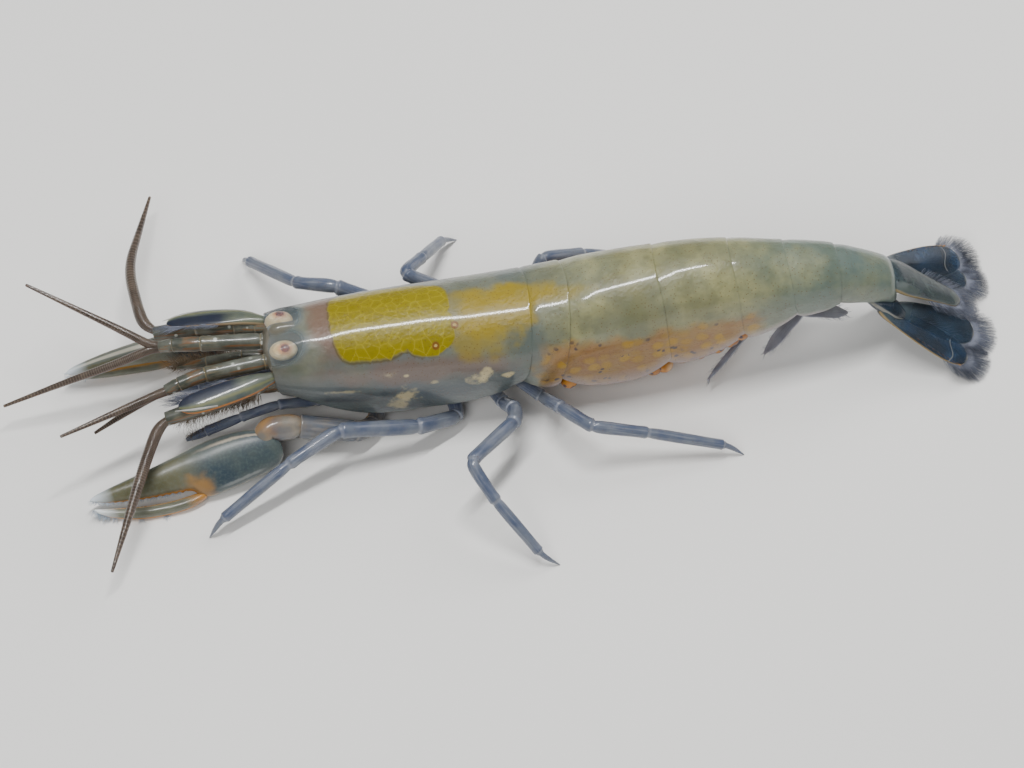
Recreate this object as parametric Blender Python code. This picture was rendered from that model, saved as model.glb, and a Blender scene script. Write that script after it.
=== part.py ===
"""Betaeus gracilis, a slender hooded shrimp carrying eggs, as a life-size still model.

Sizes here are in millimetres and become metres at the end. While it is modelled, x = 0 is the front
margin of the carapace, +X runs to the tail, -Y is the animal's left side and z = 0 is the floor.
"""

import math
import random

import bmesh
import bpy
from mathutils import Matrix, Vector
from mathutils.geometry import intersect_point_line

MM = 0.001
GAP = 0.3
SHELL = 0.5
FLOOR = 0.0

# Body stations: (distance behind the front margin, value).
BACK_HEIGHT = (
    (0.0, 4.95), (1.5, 5.15), (3.0, 5.34), (5.5, 5.42), (8.0, 5.42), (10.8, 5.6), (13.8, 6.1),
    (16.5, 6.38), (18.8, 6.36), (21.2, 5.9), (23.4, 5.42), (25.0, 4.75), (26.2, 3.95), (26.8, 3.5),
)
HALF_WIDTH = (
    (0.0, 1.7), (1.4, 2.0), (3.1, 2.15), (5.5, 2.3), (9.7, 2.4), (14.6, 2.2), (18.7, 1.9),
    (21.3, 1.62), (23.2, 1.36), (24.9, 1.12), (26.3, 1.0),
)
CROWN = (
    (0.0, 1.5), (1.4, 1.9), (3.1, 2.2), (5.5, 2.3), (14.6, 2.3), (18.7, 2.1), (21.3, 1.7),
    (23.2, 1.35), (24.9, 1.2), (26.3, 1.0),
)
LOWER_EDGE = (
    (0.0, 3.15), (1.15, 2.6), (2.75, 1.78), (4.0, 1.38), (5.2, 1.34), (6.4, 1.45), (7.7, 1.5),
    (9.3, 1.8), (10.3, 2.25), (11.2, 1.8), (13.5, 1.3), (15.2, 1.28), (16.8, 1.7), (18.4, 2.15),
    (20.5, 2.85), (21.8, 3.3), (23.2, 3.4),
)
STERNUM = (
    (0.0, 3.3), (1.2, 2.8), (2.8, 2.25), (5.2, 2.0), (9.3, 2.25), (10.6, 2.75), (14.0, 3.05),
    (17.0, 3.4), (19.0, 3.6), (21.3, 3.75), (23.2, 3.8),
)

# Plates: (name, front at the back, front at the lower edge, rear at the back, rear at the lower
# edge, lengthwise steps, how far the lower corners are rounded up).
PLATES = (
    ("carapace", 0.0, 0.45, 10.65, 10.1, 18, 0.25),
    ("abdomen_1", 11.05, 10.65, 12.2, 11.6, 5, 0.35),
    ("abdomen_2", 12.6, 12.1, 15.8, 16.3, 7, 0.7),
    ("abdomen_3", 16.1, 16.6, 18.9, 19.35, 6, 0.55),
    ("abdomen_4", 19.2, 19.65, 21.2, 21.6, 5, 0.45),
    ("abdomen_5", 21.6, 22.05, 23.4, 23.35, 5, 0.35),
)
RIM_RISE = 0.035
CROWN_ANGLES = (18, 36, 54, 72, 90)
ROW_LEVELS = (0.0, 0.12, 0.25, 0.45, 0.62, 0.78, 0.9, 0.97, 1.0)

SOMITE_6 = (23.7, 26.1)
SOMITE_6_DEPTH = 1.15

EYE = Vector((0.72, 0.72, 4.78))
EYE_RADII = (0.56, 0.42, 0.4)
ORBIT = ((-1.0, -1.45, 4.12), (1.5, 1.45, 6.0))

LEG_SIDES_SETTING = 2
BEND = 0.42

SHELL_COLOUR = (0.36, 0.38, 0.3)
LIMB_COLOUR = (0.3, 0.36, 0.42)
CLAW_COLOUR = (0.3, 0.35, 0.34)
FEELER_COLOUR = (0.22, 0.12, 0.06)
FAN_COLOUR = (0.12, 0.18, 0.28)
EYE_COLOUR = (0.8, 0.72, 0.66)
EGG_COLOUR = (0.6, 0.3, 0.06)


def clear_scene():
    for obj in list(bpy.data.objects):
        bpy.data.objects.remove(obj, do_unlink=True)


def material(name, colour, roughness=0.3):
    made = bpy.data.materials.new(name)
    made.use_nodes = True
    shader = made.node_tree.nodes["Principled BSDF"]
    shader.inputs["Base Color"].default_value = (*colour, 1.0)
    shader.inputs["Roughness"].default_value = roughness
    shader.inputs["Metallic"].default_value = 0.0
    return made


def along(stations, x):
    """The value at x on a smooth curve through the stations, level past both ends."""
    if x <= stations[0][0]:
        return stations[0][1]
    if x >= stations[-1][0]:
        return stations[-1][1]
    i = max(k for k in range(len(stations) - 1) if stations[k][0] <= x)
    slopes = []
    for k in (i, i + 1):
        before = stations[max(k - 1, 0)]
        after = stations[min(k + 1, len(stations) - 1)]
        slopes.append((after[1] - before[1]) / (after[0] - before[0]))
    (x0, v0), (x1, v1) = stations[i], stations[i + 1]
    step = x1 - x0
    t = (x - x0) / step
    return (
        (2 * t**3 - 3 * t**2 + 1) * v0
        + (t**3 - 2 * t**2 + t) * step * slopes[0]
        + (3 * t**2 - 2 * t**3) * v1
        + (t**3 - t**2) * step * slopes[1]
    )


def side(point, sign):
    """The point on the right side for sign 1, or its mirror image on the left for -1."""
    return Vector((point[0], sign * point[1], point[2]))


def new_object(name, bm, collection):
    bmesh.ops.recalc_face_normals(bm, faces=bm.faces)
    mesh = bpy.data.meshes.new(name)
    bm.to_mesh(mesh)
    bm.free()
    obj = bpy.data.objects.new(name, mesh)
    collection.objects.link(obj)
    return obj


def loft(name, rings, collection):
    """A closed solid through rings of the same number of points, with flat ends."""
    bm = bmesh.new()
    rows = [[bm.verts.new(p) for p in ring] for ring in rings]
    count = len(rows[0])
    for first, second in zip(rows, rows[1:]):
        for k in range(count):
            after = (k + 1) % count
            bm.faces.new((first[k], first[after], second[after], second[k]))
    bm.faces.new(rows[0])
    bm.faces.new(rows[-1])
    bmesh.ops.triangulate(bm, faces=bm.faces)
    return new_object(name, bm, collection)


def oval(centre, across, normal, half_width, half_depth, sides):
    """One ring of an oval section."""
    angles = [2 * math.pi * k / sides for k in range(sides)]
    return [
        centre + across * (half_width * math.cos(a)) + normal * (half_depth * math.sin(a))
        for a in angles
    ]


def oval_loft(name, stations, across, collection, sides=10, axis=None):
    """A solid of oval sections, square to the axis or else to the line through the centres.

    Each station is (centre, half width, half depth).
    """
    centres = [Vector(s[0]) for s in stations]
    rings = []
    for i, (centre, half_width, half_depth) in enumerate(stations):
        heading = centres[min(i + 1, len(centres) - 1)] - centres[max(i - 1, 0)]
        heading = (axis or heading).normalized()
        flat = (across - heading * across.dot(heading)).normalized()
        rings.append(
            oval(centres[i], flat, heading.cross(flat), half_width, half_depth, sides)
        )
    return loft(name, rings, collection)


def rounded_path(joints, bend=BEND):
    """Points along the joints with each corner rounded, as (point, joint index or fraction)."""
    joints = [Vector(j) for j in joints]
    path = [(joints[0], 0.0)]
    for i in range(1, len(joints) - 1):
        here = joints[i]
        back = joints[i - 1] - here
        ahead = joints[i + 1] - here
        start = min(bend / back.length, 0.4)
        end = min(bend / ahead.length, 0.4)
        path.append((here + back * (start + 0.5) / 1.5, i - (start + 0.5) / 1.5))
        for t in (0.0, 0.5, 1.0):
            point = (
                (here + back * start) * (1 - t) ** 2
                + here * (2 * t * (1 - t))
                + (here + ahead * end) * t**2
            )
            path.append((point, i - start + (start + end) * t))
    path.append((joints[-1], float(len(joints) - 1)))
    return path


def limb(name, joints, radii, collection, waist=0.86, bend=BEND):
    """A round limb with an article between each two joints, narrowest at the joints."""
    path = rounded_path(joints, bend)
    curve = bpy.data.curves.new(name, "CURVE")
    curve.dimensions = "3D"
    curve.bevel_depth = 1.0
    curve.bevel_resolution = LEG_SIDES_SETTING
    curve.use_fill_caps = True
    spline = curve.splines.new("POLY")
    spline.points.add(len(path) - 1)
    stations = list(enumerate(radii))
    for control, (point, place) in zip(spline.points, path):
        from_joint = abs(place - round(place))
        inner = 0 < round(place) < len(joints) - 1
        narrow = waist + (1 - waist) * min(from_joint / 0.18, 1.0) if inner else 1.0
        control.co = (*point, 1.0)
        control.radius = along(stations, place) * narrow
    guide = bpy.data.objects.new(name, curve)
    collection.objects.link(guide)
    graph = bpy.context.evaluated_depsgraph_get()
    mesh = bpy.data.meshes.new_from_object(guide.evaluated_get(graph))
    bm = bmesh.new()
    bm.from_mesh(mesh)
    bmesh.ops.remove_doubles(bm, verts=bm.verts, dist=1e-4)
    bmesh.ops.triangulate(bm, faces=bm.faces)
    bpy.data.objects.remove(guide, do_unlink=True)
    bpy.data.curves.remove(curve)
    bpy.data.meshes.remove(mesh)
    return new_object(name, bm, collection)


def ball(name, centre, radii, collection, columns=16, rows=10):
    bm = bmesh.new()
    bmesh.ops.create_uvsphere(bm, u_segments=columns, v_segments=rows, radius=1.0)
    bmesh.ops.transform(bm, matrix=Matrix.Diagonal((*radii, 1.0)), verts=bm.verts)
    bmesh.ops.translate(bm, vec=centre, verts=bm.verts)
    bmesh.ops.triangulate(bm, faces=bm.faces)
    return new_object(name, bm, collection)


def box(name, low, high, collection):
    low, high = Vector(low), Vector(high)
    bm = bmesh.new()
    bmesh.ops.create_cube(bm, size=1.0)
    bmesh.ops.scale(bm, vec=high - low, verts=bm.verts)
    bmesh.ops.translate(bm, vec=(low + high) / 2, verts=bm.verts)
    return new_object(name, bm, collection)


def keep_largest(obj):
    """Drops every closed surface of the mesh but the one that reaches furthest."""
    bm = bmesh.new()
    bm.from_mesh(obj.data)
    left = set(bm.verts)
    pieces = []
    while left:
        piece, edge = set(), [left.pop()]
        while edge:
            vert = edge.pop()
            piece.add(vert)
            near = {e.other_vert(vert) for e in vert.link_edges} & left
            left -= near
            edge.extend(near)
        pieces.append(piece)
    spans = [
        sum(max(v.co[i] for v in piece) - min(v.co[i] for v in piece) for i in range(3))
        for piece in pieces
    ]
    largest = pieces[spans.index(max(spans))]
    bmesh.ops.delete(bm, geom=[v for v in bm.verts if v not in largest], context="VERTS")
    bm.to_mesh(obj.data)
    bm.free()


def boolean(obj, operation, solver="EXACT", other=None, group=None):
    """Applies one Boolean with another object or with a collection of objects."""
    modifier = obj.modifiers.new(operation.lower(), "BOOLEAN")
    modifier.operation = operation
    modifier.solver = solver
    if group:
        modifier.operand_type = "COLLECTION"
        modifier.collection = group
    else:
        modifier.object = other
    graph = bpy.context.evaluated_depsgraph_get()
    mesh = bpy.data.meshes.new_from_object(obj.evaluated_get(graph))
    old = obj.data
    obj.modifiers.clear()
    obj.data = mesh
    bpy.data.meshes.remove(old)
    keep_largest(obj)


def fuse(obj, pieces):
    """Joins closed pieces to the object by one union, and removes them."""
    group = bpy.data.collections.new(obj.name + "_pieces")
    bpy.context.scene.collection.children.link(group)
    for piece in pieces:
        for holder in list(piece.users_collection):
            holder.objects.unlink(piece)
        group.objects.link(piece)
    boolean(obj, "UNION", solver="MANIFOLD", group=group)
    for piece in pieces:
        bpy.data.objects.remove(piece, do_unlink=True)
    bpy.data.collections.remove(group)
    return obj


def clear_of(obj, others, cutters, gap=GAP):
    """Cuts the object back so that it keeps the gap to each of the others."""
    for other in others:
        bm = bmesh.new()
        bm.from_mesh(other.data)
        bmesh.ops.recalc_face_normals(bm, faces=bm.faces)
        bm.normal_update()
        moved = [(v, v.co + v.normal * (gap * v.calc_shell_factor())) for v in bm.verts]
        for vert, place in moved:
            vert.co = place
        cutter = new_object(other.name + "_clearance", bm, cutters)
        boolean(obj, "DIFFERENCE", solver="MANIFOLD", other=cutter)
        bpy.data.objects.remove(cutter, do_unlink=True)
    return obj


def flat_foot(obj):
    """Cuts away all that reaches below the floor, which leaves a small flat to stand on."""
    bm = bmesh.new()
    bm.from_mesh(obj.data)
    cut = bmesh.ops.bisect_plane(
        bm, geom=[*bm.verts, *bm.edges, *bm.faces], plane_co=(0, 0, FLOOR), plane_no=(0, 0, 1),
        clear_inner=True,
    )
    edges = [e for e in cut["geom_cut"] if isinstance(e, bmesh.types.BMEdge)]
    bmesh.ops.holes_fill(bm, edges=edges)
    bmesh.ops.triangulate(bm, faces=bm.faces)
    bmesh.ops.recalc_face_normals(bm, faces=bm.faces)
    bm.to_mesh(obj.data)
    bm.free()
    return obj


def outline_at(x, lift):
    """Half of the body's outline at x, from the lower edge up to the middle of the back."""
    top = along(BACK_HEIGHT, x)
    width = along(HALF_WIDTH, x)
    crown = along(CROWN, x)
    widest = top - crown
    low = min(along(LOWER_EDGE, x) + lift, widest - 0.45)
    sternum = min(max(along(STERNUM, x), low + 0.12), widest - 0.15)
    flank = [(width * (1 - 0.05 * (widest - z) / (widest - low)), z)
             for z in (low, (low + sternum) / 2, sternum)]
    arch = [(width, widest)]
    for degrees in CROWN_ANGLES:
        a = math.radians(degrees)
        arch.append((width * math.cos(a) ** 0.92 if degrees < 90 else 0.0, widest + crown * math.sin(a)))
    return flank + arch, sternum


def plate(name, front_top, front_low, rear_top, rear_low, steps, corner, collection):
    """One plate of the shell with its flesh: thick above the sternum, a thin flap at each side."""
    rings = []
    for step in range(steps + 1):
        u = step / steps
        rim = 1 + RIM_RISE * (max(0.0, (u - 0.7) / 0.3) ** 2 - 0.8 * max(0.0, (0.25 - u) / 0.25) ** 2)
        lift = corner * abs(2 * u - 1) ** 3
        outer, inner = [], []
        for row, level in enumerate(ROW_LEVELS):
            drop = (1 - level) ** 1.3
            front = front_top + (front_low - front_top) * drop
            rear = rear_top + (rear_low - rear_top) * drop
            x = front + (rear - front) * u
            half, sternum = outline_at(x, lift)
            y, z = half[row]
            middle = (half[-1][1] + half[3][1]) / 2
            outer.append(Vector((x, y * rim, middle + (z - middle) * rim if row > 2 else z)))
            wall_y = half[2][0] * rim - SHELL
            if row <= 2:
                inner.append(Vector((x, half[row][0] * rim - SHELL, z)))
            else:
                share = 1 - (row - 2) / (len(ROW_LEVELS) - 3)
                inner.append(Vector((x, wall_y * share, sternum + 0.15 * (1 - share))))
        left = [side(p, -1) for p in outer]
        right = [side(p, 1) for p in reversed(outer[:-1])]
        inner_right = [side(p, 1) for p in inner]
        inner_left = [side(p, -1) for p in reversed(inner[:-1])]
        rings.append((left + right, inner_right + inner_left))
    return shell_loft(name, rings, collection)


def shell_loft(name, rings, collection):
    """A solid between an outer and an inner sheet, closed by strips along its edges and ends."""
    bm = bmesh.new()
    rows = []
    for outer, inner in rings:
        rows.append([bm.verts.new(p) for p in outer] + [bm.verts.new(p) for p in inner])
    half = len(rings[0][0])
    count = len(rows[0])
    for first, second in zip(rows, rows[1:]):
        for k in range(count):
            after = (k + 1) % count
            bm.faces.new((first[k], first[after], second[after], second[k]))
    for row in (rows[0], rows[-1]):
        for k in range(half - 1):
            opposite = count - 1 - k
            bm.faces.new((row[k], row[k + 1], row[opposite - 1], row[opposite]))
    bmesh.ops.triangulate(bm, faces=bm.faces)
    return new_object(name, bm, collection)


def somite_6(collection):
    """The last body somite, a tapered barrel without side flaps."""
    start, end = SOMITE_6
    rings = []
    steps = 5
    for step in range(steps + 1):
        u = step / steps
        x = start + (end - start) * u
        width = along(HALF_WIDTH, x) * (1 + 0.5 * RIM_RISE * u)
        crown = along(CROWN, x)
        centre = along(BACK_HEIGHT, x) - crown
        depth = SOMITE_6_DEPTH * (1 - 0.2 * u)
        ring = []
        for k in range(18):
            a = 2 * math.pi * k / 18
            height = crown if math.sin(a) > 0 else depth
            lean = 0.12 * math.sin(a) * (1 - u)
            ring.append(Vector((x + lean, width * math.cos(a), centre + height * math.sin(a))))
        rings.append(ring)
    return loft("abdomen_6", rings, collection)


def trunk(parts, cutters):
    """Carapace, six abdominal somites and the eyes under the hood."""
    shell = material("shell, translucent olive grey", SHELL_COLOUR)
    nodes = {}
    for values in PLATES:
        nodes[values[0]] = plate(*values, parts)
    nodes["abdomen_6"] = somite_6(parts)
    orbit = box("orbit", *ORBIT, cutters)
    boolean(nodes["carapace"], "DIFFERENCE", other=orbit)
    bpy.data.objects.remove(orbit, do_unlink=True)
    for obj in nodes.values():
        obj.data.materials.append(shell)
    eye = material("eye, white with a red-brown pupil spot", EYE_COLOUR)
    for word, sign in (("left", -1), ("right", 1)):
        obj = ball("eye_" + word, side(EYE, sign), EYE_RADII, parts)
        obj.data.materials.append(eye)
        nodes[obj.name] = clear_of(obj, [nodes["carapace"]], cutters, 0.25)
    return nodes


# Walking legs: joints from the root in the thorax to the tip at the floor, and radii there.
LEG_RADII = {
    3: (0.3, 0.3, 0.33, 0.35, 0.28, 0.24, 0.1),
    4: (0.3, 0.28, 0.3, 0.34, 0.3, 0.26, 0.22, 0.1),
    5: (0.28, 0.26, 0.28, 0.3, 0.26, 0.22, 0.1),
}
LEFT_LEGS = {
    3: ((7.35, 1.0), (7.4, 1.1, 0.9), (7.6, 2.25, 0.62), (5.89, 3.05, 1.4), (2.5, 3.35, 2.3),
        (0.39, 4.35, 1.9), (-2.75, 6.0, 0.75), (-3.2, 6.2, -0.2)),
    4: ((8.9, 1.0), (8.95, 1.15, 1.2), (9.46, 2.2, 1.05), (9.8, 2.9, 1.65), (9.71, 3.88, 2.2),
        (7.49, 6.1, 2.9), (8.29, 7.5, 2.05), (9.93, 9.5, 0.55), (10.6, 9.68, -0.2)),
    5: ((9.75, 0.9), (9.9, 1.05, 1.45), (11.1, 2.15, 1.05), (11.63, 3.2, 1.75),
        (12.69, 4.7, 2.25), (14.9, 4.93, 1.65), (18.3, 5.37, 0.55), (18.9, 5.55, -0.2)),
}
RIGHT_LEGS = {
    3: ((7.35, 1.0), (7.35, 1.1, 0.9), (7.0, 2.3, 0.6), (5.6, 3.0, 1.5), (3.3, 3.65, 2.6),
        (1.82, 4.25, 2.3), (-0.05, 7.1, 0.5), (-0.15, 7.45, -0.2)),
    4: ((8.9, 1.0), (8.95, 1.15, 1.15), (8.75, 2.45, 0.92), (8.0, 3.1, 1.9), (6.17, 3.64, 2.9),
        (7.08, 4.8, 2.2), (8.28, 6.76, 0.65), (8.9, 7.1, -0.2)),
    5: ((9.75, 0.9), (9.9, 1.05, 1.45), (10.95, 2.15, 0.95), (11.45, 3.0, 1.85),
        (11.94, 3.62, 2.8), (13.7, 4.1, 2.1), (16.3, 4.6, 0.5), (16.8, 4.7, -0.2)),
}
SECOND_LEGS = {
    -1: ((5.9, 0.8), (5.85, 0.75, 1.1), (4.6, 0.42, 0.8), (1.7, 1.18, 1.45), (0.3, 1.48, 2.0),
         (-1.3, 1.78, 1.85), (-2.9, 2.02, 1.45), (-3.6, 2.1, 1.2)),
    1: ((5.9, 0.8), (5.85, 0.75, 1.1), (4.6, 0.42, 0.75), (1.5, 0.8, 0.95), (0.3, 0.85, 1.0),
        (-1.3, 0.85, 0.85), (-2.9, 0.85, 0.7), (-3.6, 0.8, 0.6)),
}
SECOND_LEG_RADII = (0.26, 0.25, 0.24, 0.23, 0.22, 0.21, 0.22, 0.1)


def rooted(joints, sign):
    """The joints on one side, the first of them set a gap below the underside of the thorax."""
    x, y = joints[0]
    root = Vector((x, y, along(STERNUM, x) - GAP))
    return [side(p, sign) for p in (root, *joints[1:])]


def leg_radii(number, count):
    """Radii for a leg with this many joints, thinnest at the tip."""
    thick = LEG_RADII[number]
    return [along(list(enumerate(thick)), i * (len(thick) - 1) / (count - 1)) for i in range(count)]


def walking_legs(parts):
    finish = material("limbs, translucent blue grey", LIMB_COLOUR)
    for word, sign, legs in (("left", -1, LEFT_LEGS), ("right", 1, RIGHT_LEGS)):
        second = limb("leg_2_" + word, rooted(SECOND_LEGS[sign], sign), SECOND_LEG_RADII, parts)
        second.data.materials.append(finish)
        for number, joints in legs.items():
            radii = leg_radii(number, len(joints))
            obj = limb(f"leg_{number}_{word}", rooted(joints, sign), radii, parts)
            flat_foot(obj).data.materials.append(finish)


# Claws: outline stations are (distance from the wrist end, edge on the fixed finger's side, edge on
# the movable finger's side, half thickness). The edges are offsets from the claw's axis.
PALM = (
    (0.0, 0.42, -0.1, 0.28), (0.25, 0.82, -0.42, 0.42), (0.7, 1.1, -0.6, 0.53), (1.2, 1.24, -0.7, 0.58),
    (1.9, 1.3, -0.83, 0.6), (2.7, 1.27, -0.94, 0.6), (3.3, 1.19, -0.98, 0.56), (3.65, 1.12, -0.88, 0.52),
    (3.95, 1.05, -0.6, 0.48), (4.3, 0.97, -0.52, 0.45), (5.1, 0.81, -0.45, 0.42), (6.0, 0.64, -0.37, 0.36),
    (6.8, 0.5, -0.26, 0.29), (7.5, 0.36, -0.12, 0.21), (7.9, 0.25, 0.02, 0.13), (8.1, 0.18, 0.06, 0.08),
)
FINGER = (
    (3.85, -0.86, -1.12, 0.3), (4.2, -0.78, -1.24, 0.36), (4.8, -0.76, -1.28, 0.36),
    (5.5, -0.72, -1.25, 0.33), (6.2, -0.64, -1.16, 0.29), (6.9, -0.5, -0.97, 0.24),
    (7.5, -0.38, -0.72, 0.17), (7.9, -0.28, -0.46, 0.1), (8.02, -0.24, -0.36, 0.08),
)
BOW_START, BOW_LENGTH = 3.2, 4.9
CLAWS = {
    -1: {
        "wrist": (0.24, -3.16, 1.02), "tip": (-7.75, -4.2, 0.6), "across": (0.0, 0.819, 0.574),
        "bow": 0.0,
        "arm": ((4.5, 1.0), (4.45, 1.15, 0.85), (4.1, 2.1, 0.62), (3.5, 2.6, 0.92),
                (1.0, 2.3, 1.45)),
        "carpus": ((0.95, 2.3, 1.48), (0.35, 2.34, 1.55), (-0.3, 2.45, 1.62), (-0.6, 2.8, 1.4)),
    },
    1: {
        "wrist": (-0.05, 2.75, 1.45), "tip": (-8.05, 2.1, 0.92), "across": (0.0, -0.2, 0.98),
        "bow": 0.3,
        "arm": ((4.5, 1.0), (4.45, 1.15, 0.85), (4.1, 2.05, 0.62), (3.6, 2.55, 0.9),
                (1.75, 2.5, 1.35)),
        "carpus": ((1.7, 2.5, 1.37), (1.1, 2.6, 1.5), (0.5, 2.7, 1.5), (-0.1, 2.75, 1.45)),
    },
}
ARM_RADII = (0.28, 0.29, 0.35, 0.44, 0.5)
CARPUS_RADII = (0.4, 0.5, 0.48, 0.4)


def claws(parts, cutters):
    finish = material("claws, blue grey with a cream rim", CLAW_COLOUR)
    for word, sign in (("left", -1), ("right", 1)):
        claw = CLAWS[sign]
        wrist = Vector(claw["wrist"])
        heading = (Vector(claw["tip"]) - wrist).normalized()
        across = Vector(claw["across"])
        across = (across - heading * across.dot(heading)).normalized()

        def stations(table):
            made = []
            for t, outer, inner, thick in table:
                share = min(max((t - BOW_START) / BOW_LENGTH, 0.0), 1.0)
                offset = (outer + inner) / 2 + claw["bow"] * math.sin(math.pi * share)
                made.append((wrist + heading * t + across * offset, (outer - inner) / 2, thick))
            return made

        palm = oval_loft("palm_" + word, stations(PALM), across, parts, 14, heading)
        finger = oval_loft("movable_finger_" + word, stations(FINGER), across, parts, 10, heading)
        flat_foot(palm)
        flat_foot(finger)
        clear_of(finger, [palm], cutters, 0.25)
        bones = [side(p, sign) for p in claw["carpus"]]
        carpus = limb("carpus_" + word, bones, CARPUS_RADII, parts, bend=0.3)
        arm = limb("arm_" + word, rooted(claw["arm"], sign), ARM_RADII, parts)
        clear_of(arm, [carpus], cutters)
        clear_of(carpus, [palm], cutters)
        for obj in (palm, finger, carpus, arm):
            obj.data.materials.append(finish)


ANTENNA_STALK = ((-0.1, 1.4, 3.62), (-0.9, 1.6, 3.52), (-2.6, 1.95, 3.25), (-4.35, 2.15, 2.92))
ANTENNA_RADII = (0.34, 0.38, 0.36, 0.3)
SCALE_BLADE = (
    ((-0.2, 1.5, 3.85), 0.24, 0.22), ((-0.7, 1.68, 3.92), 0.4, 0.25), ((-1.7, 1.88, 3.86), 0.48, 0.26),
    ((-2.8, 2.05, 3.72), 0.42, 0.25), ((-3.6, 2.18, 3.62), 0.24, 0.2), ((-4.4, 2.3, 3.52), 0.08, 0.08),
)
FLAGELLA = {
    -1: ((-4.7, -2.5, 2.85), (-5.14, -3.32, 2.65), (-5.87, -4.9, 2.25), (-7.29, -8.09, 1.3)),
    1: ((-4.7, 2.75, 2.85), (-4.85, 3.6, 2.8), (-5.01, 6.02, 2.4), (-3.66, 10.41, 1.3)),
}
FLAGELLUM_RADII = (0.27, 0.26, 0.23, 0.09)
ANTENNULE_STALK = (
    (-0.25, 0.46, 3.72), (-1.2, 0.54, 3.78), (-2.7, 0.78, 3.72), (-3.7, 1.0, 3.58), (-4.2, 1.1, 3.42),
)
ANTENNULE_RADII = (0.26, 0.28, 0.28, 0.26, 0.24)
ANTENNULE_WHIPS = {
    -1: (((-4.56, -1.24, 3.42), (-5.6, -1.6, 3.42), (-8.66, -2.6, 3.28)),
         ((-4.56, -1.14, 3.3), (-5.4, -1.35, 3.0), (-7.27, -2.1, 2.5))),
    1: (((-4.56, 1.24, 3.42), (-5.6, 1.9, 3.75), (-9.28, 4.2, 4.6)),
        ((-4.56, 1.14, 3.3), (-6.0, 1.0, 2.75), (-7.97, 0.9, 2.15), (-10.8, 0.6, 1.35))),
}
WHIP_RADII = (0.22, 0.19, 0.1)
MAXILLIPED = (
    (2.7, 0.55), (1.6, 0.66, 1.93), (0.3, 0.74, 2.3), (-0.83, 0.8, 2.4), (-2.4, 0.95, 2.15),
    (-3.6, 1.05, 1.85),
)
MAXILLIPED_RADII = (0.26, 0.26, 0.28, 0.28, 0.24, 0.1)


def head_limbs(parts):
    limb_finish = material("head limbs, clear grey brown", LIMB_COLOUR)
    feeler_finish = material("feelers, brown", FEELER_COLOUR)
    for word, sign in (("left", -1), ("right", 1)):
        antenna = limb("antenna_" + word, [side(p, sign) for p in ANTENNA_STALK], ANTENNA_RADII, parts)
        blade = [(side(p, sign), w, d) for p, w, d in SCALE_BLADE]
        lean = Vector((0.0, 1.0, -0.3 * sign))
        fuse(antenna, [oval_loft("scale_blade", blade, lean, parts, 8)])
        whip = limb("antenna_flagellum_" + word, FLAGELLA[sign], FLAGELLUM_RADII, parts, 1.0)
        stalk = limb("antennule_" + word, [side(p, sign) for p in ANTENNULE_STALK], ANTENNULE_RADII, parts)
        whips = [limb("whip", points, WHIP_RADII, parts, 1.0) for points in ANTENNULE_WHIPS[sign]]
        lash = fuse(whips[0], whips[1:])
        lash.name = "antennule_flagella_" + word
        jaw_leg = limb("maxilliped_" + word, rooted(MAXILLIPED, sign), MAXILLIPED_RADII, parts)
        for obj in (antenna, stalk, jaw_leg):
            obj.data.materials.append(limb_finish)
        for obj in (whip, lash):
            obj.data.materials.append(feeler_finish)


TELSON = (
    ((26.0, 0.0, 3.45), 0.8, 0.4), ((26.5, 0.0, 3.1), 0.88, 0.32), ((27.3, 0.0, 2.45), 0.72, 0.27),
    ((28.2, 0.0, 1.7), 0.55, 0.25), ((28.75, 0.0, 1.25), 0.42, 0.24), ((28.95, 0.0, 1.08), 0.2, 0.2),
)
BLADE_SHAPE = (
    (0.0, 0.34, 0.3), (0.1, 0.46, 0.3), (0.3, 0.6, 0.28), (0.6, 0.7, 0.26), (0.82, 0.66, 0.25),
    (0.94, 0.46, 0.22), (1.0, 0.16, 0.15),
)
TAIL_FAN = {
    "uropod_outer_left": ((25.6, -1.15, 2.5), (28.85, -2.5, 0.36), (0.25, -0.8, -0.3)),
    "uropod_inner_left": ((26.2, -0.95, 2.35), (29.35, -1.35, 0.45), (0.15, -0.8, -0.4)),
    "uropod_outer_right": ((26.0, 1.05, 2.75), (29.5, 2.35, 0.75), (0.1, 0.8, 0.1)),
    "uropod_inner_right": ((26.3, 0.85, 2.45), (29.6, 1.45, 0.55), (0.15, 0.8, -0.1)),
}


def tail_fan(parts, cutters, nodes):
    finish = material("tail fan, translucent dark blue", FAN_COLOUR)
    telson = oval_loft("telson", TELSON, Vector((0.0, 1.0, 0.0)), parts, 12)
    clear_of(telson, [nodes["abdomen_6"]], cutters)
    made = [telson]
    for name, (root, tip, across) in TAIL_FAN.items():
        root, tip = Vector(root), Vector(tip)
        stations = [(root.lerp(tip, t), w, d) for t, w, d in BLADE_SHAPE]
        blade = oval_loft(name, stations, Vector(across).normalized(), parts, 10)
        clear_of(blade, [nodes["abdomen_6"], *made], cutters)
        made.append(flat_foot(blade))
    for obj in made:
        obj.data.materials.append(finish)


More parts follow.
